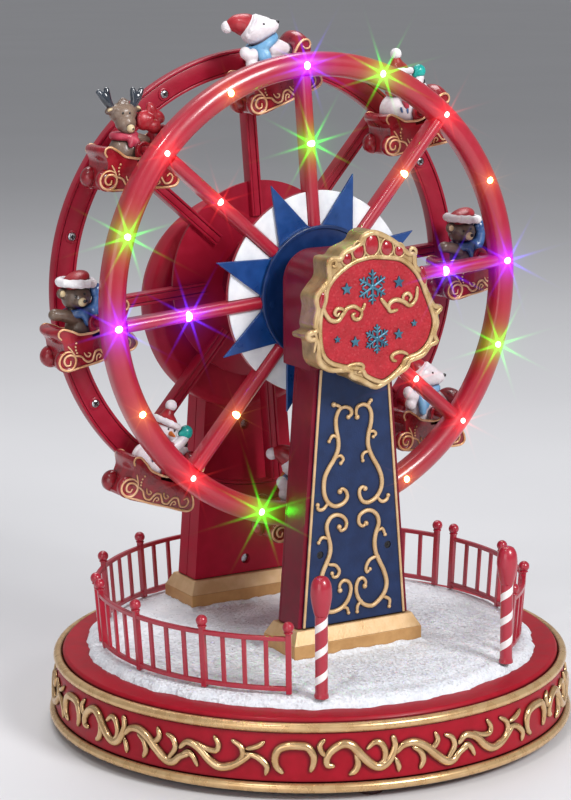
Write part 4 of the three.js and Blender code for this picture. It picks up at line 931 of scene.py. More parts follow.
def add_sign():
    low, high = box_mm("sign_frame")
    face, reach = low.y, high.z - low.z
    centre = low.z + reach / 2
    edge, window = ([(SIGN_HALF * x, low.z + reach * z) for x, z in shares]
                    for shares in (SIGN_OUTLINE_SHARES, SIGN_FIELD_SHARES))
    field = curve(window, 4, closed=True)
    tools, gems, relief = [Form(prism(field, face - CUT_START, face + FIELD_CUT))], Form(), Form()
    for (x, z), wide, tall in SIGN_CELLS:
        cell = egg((x, z), wide, tall, 0.12)
        tools.append(Form(prism(cell, face - CUT_START, face + CELL_CUT)))
        gems.add(ball((x, face + 1.3, z), (wide, 1.6, tall)))
        ring = [(a, face + RELIEF_SINK, b) for a, b in egg((x, z), wide + 0.5, tall + 0.5, 0.1)]
        relief.add(tube(ring, 0.6, 8, closed=True))
    for (x, z), wide, tall, lean in SIGN_LENSES:
        cell = []
        for a in (TURN * i / 24 for i in range(24)):
            spot = Vector((wide * cos(a) * abs(cos(a)) ** 0.2, tall * sin(a)))
            cell.append(Vector((x, z)) + Matrix.Rotation(radians(lean), 2) @ spot)
        tools.append(Form(prism(cell, face - CUT_START, face + SLOT_CUT)))
        gems.add(ball((x, face + 0.6, z), (wide, 1.3, tall), turn(radians(lean))))
    slab = carve(Form(prism(curve(edge, 4, closed=True), face + SLAB_SINK, high.y)), *tools)
    piece = make("sign_slab", slab, [OLD_GOLD, SHADED_SIDE_GOLD], "sign_frame", bevel=0.7, steps=3,
                 smooth=48)
    # The outer sides and the back take the darker gold: painted shade.
    for polygon in piece.data.polygons:
        outward = Vector((polygon.center.x, 0, polygon.center.z - centre * MM))
        outer_side = abs(polygon.normal.y) < 0.5 and polygon.normal.dot(outward) > 0
        if outer_side or polygon.normal.y > 0.5:
            polygon.material_index = 1
    for loop, pull, thick in ((edge, -1.25, 1.45), (window, 1.1, 1.3)):
        spots = curve([(x, face + thick, z) for x, z in loop], 5, closed=True)
        drawn = [spot + Vector((spot.x, 0, spot.z - centre)).normalized() * pull for spot in spots]
        relief.add(tube(drawn, thick, 12, closed=True))
    add_strokes(relief, SIGN_SCROLLS, face + RELIEF_SINK, 6, 0.62, 12)
    make("sign_relief", relief, [OLD_GOLD], smooth=60)
    plate_low, plate_high = box_mm("sign_panel")
    plate = [(x * FIELD_SHARE, centre + (z - centre) * FIELD_SHARE) for x, z in field]
    plate = Form(prism(plate, plate_low.y, plate_high.y))
    make("sign_field", plate, [GLITTER], "sign_panel", smooth=50)
    make("sign_gems", gems, [GEM_RED], smooth=60)
    add_sign_ornament(plate_low.y)


GEM_RED = painted("gem_red", "a80f22", "8c0a1a", 0.2, coat=0.8, coat_rough=0.06, bump=0.1)
ORNAMENT_BLUE = painted("ornament_blue", "4a7f93", "2f5c74", 0.38, metal=0.35, bump=0.1,
                        shade_and_wash="1c2a3a", reach=1.0)
SNOWFLAKES = [((-1.8, 221.5), 7.6), ((0.8, 197.0), 6.4)]
SMALL_STARS = [((-15.8, 221.6), 3.0), ((12.6, 222.6), 3.0), ((-11.2, 196.6), 2.7), ((12.6, 198.2), 2.7),
               ((-20.8, 198.6), 1.8), ((21.2, 202.6), 1.8)]


def add_sign_ornament(face):
    """Snowflakes and small stars on the sign's field, as raised steel-blue metal."""
    form = Form()
    for (x, z), size in SNOWFLAKES:
        centre = Vector((x, face - 0.35, z))
        form.add(ball(centre, (1.5, 0.9, 1.5)))
        for angle in (TURN * arm / 6 + TURN / 12 for arm in range(6)):
            out = upright(angle) * size
            form.add(tube([centre, centre + out], [0.75, 0.6], 8))
            for share, length in ((0.45, 0.34), (0.72, 0.25)):
                for lean in (-TURN / 6, TURN / 6):
                    start = centre + out * share
                    form.add(tube([start, start + upright(angle + lean) * size * length], [0.6, 0.45], 8))
    for (x, z), size in SMALL_STARS:
        outline = [Vector((x, z)) + upright(TURN * i / 10 + TURN / 4).xz * size * (0.45 if i % 2 else 1)
                   for i in range(10)]
        form.add(prism(outline, face - 0.9, face + 0.2))
    make("sign_ornament", form, [ORNAMENT_BLUE], bevel=0.15)


# Rear tower
SEAM_GAP, STEP = 0.3, 0.15
DRUM_BACK_RADIUS, DRUM_TAPER, DRUM_CORNER = 50.0, 12.0, 1.5
COLUMN_INSET = 5.0
WELL_RADIUS, SCREW_RADIUS = 2.6, 2.2
FRONT_SCREWS = [(-1, 135), (-1, 64)]
# The screws in the drum's back, from its middle, and those in the column
DRUM_SCREWS = [(-38, 0), (38, 0), (0, 38)]
COLUMN_SCREWS = [(-18, 120), (18, 120), (-22, 70), (22, 70)]


def add_rear_tower():
    front_low, front_high = box_mm("rear_tower_front")
    back_low, back_high = box_mm("rear_tower_back")
    radius, front, back = front_high.x, front_low.y, back_high.y
    drum_z = front_high.z - radius
    seam = (front_high.y + back_low.y) / 2
    back_start, taper_start = seam + SEAM_GAP, back - DRUM_TAPER
    column_front = seam * 2 - back
    outline = column(box_mm("rear_tower_plinth")[1].x - COLUMN_INSET, front_low.z, drum_z)

    def tapered(y):
        return radius - (radius - DRUM_BACK_RADIUS) / DRUM_TAPER * (y - taper_start), y

    def half(name, node, profile, low, high, *tools):
        drum = Form(lathe(profile, axis="Y")).moved(shift(z=drum_z))
        body = carve(carve(drum, Form(prism(outline, low, high)), how="UNION"), *tools)
        make(name, body, [DEEP_CRIMSON], node, bevel=0.5, smooth=35)

    screws, wells = Form(), []
    hole = Form(rod(BEARING_HOLE, 40, 66, 48)).moved(shift(z=AXLE_HEIGHT))
    for x, z in FRONT_SCREWS:
        hole.add(rod(WELL_RADIUS, column_front - 1, column_front + 3), at=shift(x, 0, z))
        screws.add(rod(SCREW_RADIUS, column_front + 2.2, column_front + 3.2), at=shift(x, 0, z))
    for x, z in [(x, z + drum_z) for x, z in DRUM_SCREWS] + COLUMN_SCREWS:
        wells.append(Form(rod(WELL_RADIUS, back - 3, back + 1)).moved(shift(x, 0, z)))
        head = [(0, back - 3), (SCREW_RADIUS, back - 3), (SCREW_RADIUS, back - 2), (0, back - 1.5)]
        screws.add(lathe(head, ROUND, axis="Y"), at=shift(x, 0, z))
    profile = [(0, front), (radius - 4, front), (radius, front + 4), (radius, taper_start), tapered(seam)]
    profile = [*fillet(profile, DRUM_CORNER, closed=False), (0, seam)]
    half("rear_tower_front_half", "rear_tower_front", profile, column_front, seam - STEP, hole)
    profile = fillet([tapered(back_start), (DRUM_BACK_RADIUS, back), (0, back)], DRUM_CORNER, closed=False)
    profile = [(0, back_start), *profile]
    half("rear_tower_back_half", "rear_tower_back", profile, back_start + STEP, back - STEP, *wells)
    make("rear_tower_screws", screws, [STEEL])


# The wheel: made about the axle, its first spoke towards +X, with depth outwards from the rim's inner face
WHEEL_MIDDLE = 20.25
WHEEL_PHASE = 4.16
INNER_HALF = 24.25
RIM_OUTER, RIM_INNER = 114.6, 103.0
RIM_MIDDLE, RIM_HALF = (RIM_OUTER + RIM_INNER) / 2, (RIM_OUTER - RIM_INNER) / 2
RIM_DEPTH, RIM_CROWN, RIM_WALL, RIM_SLOT = 9.2, 4.6, 1.4, 6.2
SPOKES = 8
SPOKE_ANGLES = [TURN * k / SPOKES for k in range(SPOKES)]
SPOKE_HALF, SPOKE_DEPTH, SPOKE_CROWN, SPOKE_WALL, SPOKE_SLOT = 3.0, 8.7, 3.0, 1.2, 5.5
HUB_RADIUS, RING_RADIUS, STAR_TIP = 49.2, 33.0, 59.5
PLATE_DEPTHS, DISC_DEPTHS, STAR_DEPTHS = (2.6, 4.1), (4.4, 5.4), (5.7, 7.2)
BOSS_RADIUS = 10
DISC_GAP, STAR_GAP = 0.3, 0.8
SPOKE_OVERLAP, STRIP_OVERLAP = 0.8, 1.2
HUB_RING = [(10.3, 7.5), (RING_RADIUS, 7.5), (RING_RADIUS, 9.5), (31.2, 9.5), (31.2, 8.7), (10.3, 8.7)]
COVER_SINK, COVER_TOP, COVER_GAP = 0.4, 1.7, 0.3
SCREW_SHIFT = 7.3 - WHEEL_PHASE
SCREW_BOSS = [(0, 0.6), (3.2, 0.6), (3.2, 0.0), (2.8, -0.25), (2.3, -0.25), (2.1, 0.2), (0, 0.2)]
SCREW_HEAD = [(0, 0.3), (1.95, 0.3), (1.95, -0.15), (1.6, -0.5), (1.0, -0.6), (0.8, -0.25), (0, -0.15)]
RING_SCREW_ANGLE, RING_SCREW_RADIUS = 186.5, 27.5
AXLE_HEIGHT = middle("axle").z
WHEEL_AT = shift(0, WHEEL_MIDDLE, AXLE_HEIGHT) @ turn(radians(WHEEL_PHASE))
FRONT_AT = WHEEL_AT @ Matrix.Rotation(pi, 4, "Z")


def wheel_ring(profile, steps, closed=False):
    return lathe([(radius, INNER_HALF + depth) for radius, depth in profile], steps, closed, "Y")


def channel(half, depth, rise, wall, slot, steps):
    """The section of a crowned bar that is open at its back, as [across, depth]."""
    turns = [pi * i / steps for i in range(steps + 1)]
    crown = [(half * cos(a), depth - rise + rise * sin(a)) for a in turns]
    inner = half - wall
    return [(half, 0), *crown, (-half, 0), (-inner, 0), (-inner, slot), (inner, slot), (inner, 0)]


def cover_strip(half):
    return fillet([(half, COVER_SINK), (-half, COVER_SINK), (-half, COVER_TOP), (half, COVER_TOP)], 0.25, 2)


def spoke_bar(section, end, angle, stations=1):
    """A bar of the given [across, depth] section along a spoke."""
    rings = []
    for station in range(stations + 1):
        reach = RING_RADIUS - 1 + (end - RING_RADIUS + 1) * station / stations
        rings.append([turn(angle) @ Vector((reach, INNER_HALF + depth, across)) for across, depth in section])
    return skin(rings)


def wheel_half(name, at, look):
    rim = fillet(channel(RIM_HALF, RIM_DEPTH, RIM_CROWN, RIM_WALL, RIM_SLOT, 12), 0.35, 2, flat=140)
    spoke = channel(SPOKE_HALF, SPOKE_DEPTH, SPOKE_CROWN, SPOKE_WALL, SPOKE_SLOT, 10)
    spoke = fillet(spoke, 0.3, 2, flat=140)
    rim_strip = cover_strip(RIM_HALF - RIM_WALL - COVER_GAP)
    spoke_strip = cover_strip(SPOKE_HALF - SPOKE_WALL - COVER_GAP)
    shell = Form(wheel_ring([(RIM_MIDDLE + across, depth) for across, depth in rim], 384, closed=True))
    cover = Form(wheel_ring([(RIM_MIDDLE + across, depth) for across, depth in rim_strip], 192, closed=True))
    bosses, screws, slots = Form(), Form(), Form()
    for angle in SPOKE_ANGLES:
        shell.add(spoke_bar(spoke, RIM_INNER + SPOKE_OVERLAP, angle, 44))
        cover.add(spoke_bar(spoke_strip, RIM_INNER + STRIP_OVERLAP, angle))
        spot = turn(angle + TURN / SPOKES / 2 + radians(SCREW_SHIFT)) @ shift(RIM_MIDDLE - 0.8)
        bosses.add(wheel_ring(SCREW_BOSS, 32), at=spot)
        screws.add(wheel_ring(SCREW_HEAD, 32), at=spot)
        # A dark cross on each screw stands for its slot: painted shade.
        add_cross(slots, INNER_HALF - 0.5, 20, 1.5, 0.35, spot)
    near, far = PLATE_DEPTHS
    shell.add(wheel_ring([(0, near), (HUB_RADIUS, near), (HUB_RADIUS, far), (0, far)], 128))
    boss = [(0, 0), (BOSS_RADIUS, 0), (BOSS_RADIUS, SPOKE_DEPTH), (0, SPOKE_DEPTH)]
    shell.add(wheel_ring(fillet(boss, 0.6, 2, closed=False), 48))
    casting = make(name + "_casting", shell.moved(at), [look], name + "_shell", body="wheel", smooth=38)
    make(name + "_cover_strips", cover.moved(at), [look], name + "_cover", body="wheel", smooth=38)
    make(name + "_screw_bosses", bosses.moved(at), [look], body="wheel", smooth=38)
    make(name + "_screws", screws.moved(at), [STEEL], None, "wheel", smooth=38)
    make(name + "_screw_slots", slots.moved(at), [SLOT_SHADE], None, "wheel", smooth=38)
    return casting


def add_hub():
    disc, star = [], []
    gap, inner_gap = (asin((SPOKE_HALF + DISC_GAP) / radius) for radius in (HUB_RADIUS, RING_RADIUS))
    base = asin((SPOKE_HALF + STAR_GAP) / RING_RADIUS)
    for angle in SPOKE_ANGLES:
        for side in (-1, 1):
            disc.append((level(angle + side * inner_gap) * (RING_RADIUS - 1)).xy)
            star.append((level(angle + side * base) * RING_RADIUS).xy)
        disc += arc((0, 0), HUB_RADIUS, degrees(angle + gap), degrees(angle + TURN / SPOKES - gap), 14)
        star.append((level(angle + TURN / SPOKES / 2) * STAR_TIP).xy)
    disc, star = (Form(prism(outline, INNER_HALF + near, INNER_HALF + far)).moved(FRONT_AT)
                  for outline, (near, far) in ((disc, DISC_DEPTHS), (star, STAR_DEPTHS)))
    ring = Form(wheel_ring(fillet(HUB_RING, 0.4, 3), 128, closed=True)).moved(FRONT_AT)
    angle = radians(RING_SCREW_ANGLE - WHEEL_PHASE)
    place = shift(-RING_SCREW_RADIUS * cos(angle), INNER_HALF + 8.6, RING_SCREW_RADIUS * sin(angle))
    screw = Form().add(lathe([(0, 0), (1.5, 0), (1.5, 0.4), (0, 0.6)], ROUND, axis="Y"), at=FRONT_AT @ place)
    make("white_disc_fine", disc, [WHITE], "white_disc", "wheel", bevel=0.2)
    make("star_fine", star, [BLUE], "star", "wheel", bevel=0.45)
    make("hub_ring_fine", ring, [RING_BLUE], "hub_ring", "wheel", smooth=38)
    make("hub_ring_screw", screw, [RING_BLUE], None, "wheel")


# Lamps
PURPLE, GREEN = (0.12, 0.02, 1.0), (0.02, 1.0, 0.015)
RED, ORANGE = (1.0, 0.035, 0.03), (1.0, 0.35, 0.07)
# Each row, from the first spoke: radius, crest of the plastic, count, and colours in turn
LAMP_ROWS = [(RIM_MIDDLE, RIM_DEPTH, 16, (PURPLE, ORANGE, RED, GREEN)),
             (72.1, SPOKE_DEPTH, 8, (PURPLE, ORANGE, GREEN, RED))]
LAMP_PROUD, LENS_DEPTH, DOME_RISE = 0.5, 4, 2
# Each colour: name, radius, power of lens and of chip, and the strength and colour of the glow painted on the
# plastic round it
LAMPS = {
    PURPLE: ("purple", 2.5, 60, 760, 2.2, (0.35, 0, 1)),
    ORANGE: ("orange", 2.3, 24, 130, 0.45, (1, 0.3, 0.05)),
    RED: ("red", 2, 44, 260, 1.1, (1, 0.03, 0.02)),
    GREEN: ("green", 2.3, 60, 780, 1.5, (0.06, 0.8, 0.02)),
}
CHIP_RADIUS = 0.55
# The glow painted round each lamp: how fast it fades and where it stops
GLOW_REACH, GLOW_END = 3.8, 24.0


def lamp_tips():
    """Each front lamp's colour and the place of its tip in the wheel's frame."""
    for radius, crest, count, colours in LAMP_ROWS:
        for i in range(count):
            place = level(TURN * i / count) * radius
            yield colours[i % 4], Vector((-place.x, INNER_HALF + crest + LAMP_PROUD, place.y))


def paint_lamp_glow(casting):
    """Paint each lamp's light on the plastic round it as a glow, less with distance."""
    lamps = [(LAMPS[colour][4], Vector(LAMPS[colour][5]), FRONT_AT @ tip) for colour, tip in lamp_tips()]
    glow_layer = casting.data.color_attributes.new("painted_lamp_glow", "FLOAT_COLOR", "POINT")
    for point, value in zip(casting.data.vertices, glow_layer.data):
        total = Vector((0, 0, 0))
        for power, shade, place in lamps:
            gap = (point.co / MM - place).length
            if gap < GLOW_END:
                total += shade * power * (exp(-gap / GLOW_REACH) - exp(-GLOW_END / GLOW_REACH))
        value.color = (*total, 1.0)


def add_lamps():
    forms = {colour: Form() for colour in LAMPS}
    for colour, tip in lamp_tips():
        wide, at = LAMPS[colour][1], shift(*tip)
        dome = [(wide * cos(a), DOME_RISE * (sin(a) - 1)) for a in (TURN / 4 * i / 6 for i in range(6))]
        lens = [(0, -LENS_DEPTH), (wide, -LENS_DEPTH), *dome, (0, 0)]
        forms[colour].add(lathe(lens, 20, axis="Y"), at=at)
        chip = [(0, -0.2), (CHIP_RADIUS, -0.2), (CHIP_RADIUS * 0.8, 0.05), (0, 0.1)]
        forms[colour].add(lathe(chip, 12, axis="Y"), 1, at)
    for colour, form in forms.items():
        name, wide, lens, chip = LAMPS[colour][:4]
        looks = [glowing("lamp_" + name, colour, lens), glowing("chip_" + name, colour, chip)]
        make("lamps_" + name, form.moved(FRONT_AT), looks, "led_harness", "wheel")


# Gondolas: sleighs on pins between the rims, each about its own pivot, with +X ahead
TILTS = [11, 9, 20, 0, 12.5, -19, 0, -2]
KINDS = ["brown_bear", "snowman", "polar_bear", "reindeer",
         "brown_bear", "snowman", "polar_bear", "polar_bear"]
SLEIGH_HALF = 10.0
SLEIGH_OUTLINE = [
    (-19.4, -18.4), (-8, -18.7), (4, -18.4), (11.9, -18.5), (16.4, -18), (18.2, -15.4), (17.2, -11.6),
    (15.3, -8.6), (14.9, -5), (15.9, -1.6), (17.6, 1.4), (18, 3.6), (17, 5.7), (14.6, 6.5), (11.5, 5.3),
    (8.3, 2.7), (5.6, -0.6), (2.2, -3), (-2, -3.9), (-5.8, -3.5), (-9.7, -2.6), (-12.7, -0.5), (-15, 1.1),
    (-17.4, 2.1), (-19.8, 1.8), (-20.6, 0), (-19.9, -2.4), (-18.9, -5), (-19.1, -8.4), (-19.4, -13.6),
]
SLEIGH_CAVITY = [(-15.9, -13.9), (8.2, -13.9), (11.2, -9.4), (9.2, -2), (12, 12), (-15.2, 12),
                 (-15.9, -2)]
SLEIGH_WALL = 2.0
SLEIGH_SECTIONS = 15
BACK_FLARE = 2.3
FRONT_ARCH = 3.9
CURL_MIDDLE, CURL_RADIUS, CURL_DEPTH = (-18.9, -13.4), 5.2, 4.8
EAR_RADIUS = 3.8
PIN_RADIUS = 2.0
PIN_REACH = 26.4
# Gold strokes on the sides of a sleigh, as [along, up], and their thickness
SLEIGH_STROKES = [
    ([(-19.3, -2.4), (-20.2, -0.6), (-19.6, 1.2), (-17.4, 1.9), (-15, 0.8), (-12.7, -0.7), (-9.7, -2.8),
      (-5.8, -3.6), (-2, -4), (2.2, -3.1), (5.4, -0.9), (8.3, 2.4), (11.5, 5), (14.6, 6.1), (17, 5.3),
      (17.6, 3.3), (16.4, 1.6), (14.2, 2), (13.4, 3.4)], 1.25),
    ([(-15.2, -9.9), (-18, -8.9), (-21, -9.9), (-22.9, -12.6), (-22.4, -15.6), (-20, -17.4), (-16.9, -17.2),
      (-14.9, -15), (-14.6, -12.4), (-16.4, -10.9), (-19, -11), (-20.4, -12.8), (-19.8, -14.9),
      (-17.9, -15.2), (-17.2, -13.6)], 1.2),
    ([(-16.8, -6.6), (-15.9, -8.2), (-15.2, -9.9), (-14.4, -11.8), (-12.8, -12.4), (-11.2, -13.4),
      (-10.2, -15.2), (-8.6, -16.6), (-6.4, -16.4), (-5.2, -14.6), (-3.8, -12.9), (-1.6, -12.8),
      (-0.4, -14.6), (1, -16.6), (3.4, -16.5), (4.6, -14.6), (6, -12.9), (8.2, -12.8), (9.4, -14.6),
      (10.8, -16.3), (13.4, -15.8), (14.5, -13.4), (13.2, -11.8), (11.8, -12.8)], 1.15),
    *[([(x + along, z) for x, z in leaf], 0.9) for along in (0, 9.6) for leaf in (
        [(-9.6, -11.8), (-8.9, -13.6), (-7.6, -14.2), (-6.6, -13.2), (-7.6, -12.4)],
        [(-4.4, -17.2), (-3.8, -15.2), (-2.6, -14.6), (-1.8, -15.6), (-2.8, -16.4)])],
    ([(-19.6, -17.9), (-12, -18), (-4, -18.2), (4, -17.9), (11.6, -18), (15.8, -17.4), (17.6, -15.2),
      (16.8, -12), (15, -9)], 1.3),
]
SLEIGH_DOTS = [(-12.4, -6.2), (-13.2, -7.8), (-13.4, -9.4), (-13.2, -10.8)]

SLEIGH_RED = painted("sleigh_red", "a00f22", "7c0918", 0.3, coat=0.4, coat_rough=0.08, bump=0.2, fine=400.0,
                     shade_and_wash="4a060c", reach=1.2)
SLEIGH_GOLD = painted("sleigh_gold", "f0c49a", "d39a68", 0.34, metal=0.3, bump=0.25, fine=600.0,
                      shade_and_wash="6a3018", reach=0.8)


def clamped(value):
    return max(0.0, min(1.0, value))


def sleigh_core():
    rings = []
    for section in range(SLEIGH_SECTIONS):
        share, ring = 2 * section / (SLEIGH_SECTIONS - 1) - 1, []
        crown = 1 - abs(share) ** 2.4
        for x, z in curve(SLEIGH_OUTLINE, 3, closed=True):
            back = clamped((-15 - x) / 5) * clamped((z + 5) / 5)
            front = clamped((x - 7) / 5) * clamped((z + 3) / 6)
            ring.append((x - BACK_FLARE * crown * back, SLEIGH_HALF * share, z + FRONT_ARCH * crown * front))
        rings.append(ring)
    return Form(skin(rings))


def sleigh_forms():
    """The body, curls, gold trim and pins of a sleigh, about its own pivot."""
    inner = SLEIGH_HALF - SLEIGH_WALL
    body = carve(sleigh_core(), Form(prism(fillet(SLEIGH_CAVITY, 2.5, 4), -inner, inner)))
    curls, trim, pins = Form(), Form(), Form()
    low, high, outer = SLEIGH_HALF - CURL_DEPTH, SLEIGH_HALF + 0.15, SLEIGH_HALF + 0.3
    curl = [(0, low - 1.2), (2.6, low - 0.9), (4.4, low + 0.4), (CURL_RADIUS, low + 2.0),
            (CURL_RADIUS, high - 0.7), (CURL_RADIUS - 0.6, high), (3.4, high), (2.9, high - 0.5),
            (1.6, high - 0.1), (0, high + 0.1)]
    ear = [(0, inner), (EAR_RADIUS, inner), (EAR_RADIUS, outer), (0, outer)]
    ear = fillet(ear, 0.5, 3, closed=False)
    pin = [(0, SLEIGH_HALF), (PIN_RADIUS, SLEIGH_HALF), (PIN_RADIUS, PIN_REACH), (0, PIN_REACH)]
    pin = fillet(pin, 0.3, 2, closed=False)
    for side in (-1, 1):
        for form, profile, steps, at in ((curls, curl, 40, shift(CURL_MIDDLE[0], 0, CURL_MIDDLE[1])),
                                         (pins, ear, 32, None), (pins, pin, 32, None)):
            form.add(lathe([(r, side * y) for r, y in profile], steps, axis="Y"), at=at)
        neck = [(-3.6, -6.0), (3.6, -6.0), (EAR_RADIUS, 0.0), (-EAR_RADIUS, 0.0)]
        pins.add(prism(neck, side * inner, side * SLEIGH_HALF))
        face = side * (SLEIGH_HALF + 0.1)
        add_strokes(trim, SLEIGH_STROKES, face, 6, 0.6, 10)
        for x, z in SLEIGH_DOTS:
            trim.add(ball((x, face, z), (0.55, 0.4, 0.55), steps=10, rows=6))
    return body, curls, trim, pins


# Figures of painted resin, with +X ahead and -Y towards the wheel's front
BROWN_FUR = painted("brown_fur", "75604f", "56443a", 0.36, coat=0.35, coat_rough=0.15, bump=0.25, fine=700.0,
                    shade_and_wash="2b1e18", reach=2.0)
DEER_FUR = painted("deer_fur", "86705f", "65524a", 0.38, coat=0.3, coat_rough=0.18, bump=0.22, fine=700.0,
                   shade_and_wash="33241e", reach=2.0)
WHITE_FUR = painted("white_fur", "f1edf0", "e2d9de", 0.42, coat=0.2, coat_rough=0.2, bump=0.25, fine=600.0,
                    shade_and_wash="a89aa6", reach=2.0)
TRIM_FUR = painted("trim_fur", "f7f4f6", "dcd6dc", 0.7, bump=0.7, fine=420.0, shade_and_wash="a79ba6", reach=1.6)
HAT_RED = painted("hat_red", "b41f2d", "8e1420", 0.4, coat=0.25, coat_rough=0.2, bump=0.2, fine=500.0,
                  shade_and_wash="4a0a12", reach=1.8)
SCARF_BLUE = painted("scarf_blue", "86bde0", "5f9ccc", 0.45, coat=0.15, bump=0.3, fine=500.0, shade_and_wash="274a72",
                     reach=1.6)
DEEP_BLUE = painted("deep_blue", "3e6aa5", "2a4a7c", 0.3, coat=0.5, bump=0.2, fine=500.0, shade_and_wash="182a48",
                    reach=1.6)
SCARF_PINK = painted("scarf_pink", "c9415a", "9e2840", 0.4, coat=0.2, bump=0.3, fine=500.0, shade_and_wash="581020",
                     reach=1.6)
TEAL = painted("mitten_teal", "14b8ac", "0d9490", 0.35, coat=0.3, bump=0.3, fine=500.0, shade_and_wash="0a5552",
               reach=1.4)
CREAM = painted("cream", "e6d3ae", "ccb488", 0.4, coat=0.2, bump=0.15, shade_and_wash="7a5c38")
DARK = painted("dark_detail", "17171c", "101014", 0.25, coat=0.5)
ORANGE_PAINT = painted("orange_paint", "d8742a", "b85c1c", 0.4, coat=0.2, bump=0.15)
SMOKE = painted("smoky_antler", "3a424d", "20262f", 0.12, coat=0.8, coat_rough=0.04, bump=0.1)
ALONG, SIDEWAYS, UPWARD = Vector((1, 0, 0)), Vector((0, 1, 0)), Vector((0, 0, 1))
# The white bear looks ahead and a little to the front, and its hat leans back
MUZZLE, CHEEK = level(radians(-30)), level(radians(60))
HAT_LEAN = radians(48)
HAT_UP = UPWARD * cos(HAT_LEAN) - MUZZLE * sin(HAT_LEAN)
HAT_FRONT = MUZZLE * cos(HAT_LEAN) + UPWARD * sin(HAT_LEAN)
POLAR_HEAD = Vector((-3.2, 0, 18.0))
SNOW_HEAD = Vector((-3.5, 0, 17.0))


def fur_ring(centre, across, up, radius, thick):
    """Uneven lumps of fur round a head, in the plane of two unit directions."""
    made = []
    for i in range(26):
        spot = centre + (across * cos(TURN * i / 26) + up * sin(TURN * i / 26)) * radius
        swell = 1 + 0.07 * sin(5 * i) + 0.06 * cos(3.3 * i)
        made.append((spot, (thick * swell,) * 3))
    return made


def hoop(centre, across, wide, deep):
    """A scarf's path round a neck."""
    return [Vector(centre) + across * wide * cos(TURN * i / 24) + SIDEWAYS * deep * sin(TURN * i / 24)
            for i in range(25)]


def at_head(ahead, side, up):
    return POLAR_HEAD + MUZZLE * ahead + CHEEK * side + UPWARD * up


def at_hat(up, back):
    return POLAR_HEAD + HAT_UP * (3.6 + up) - MUZZLE * back


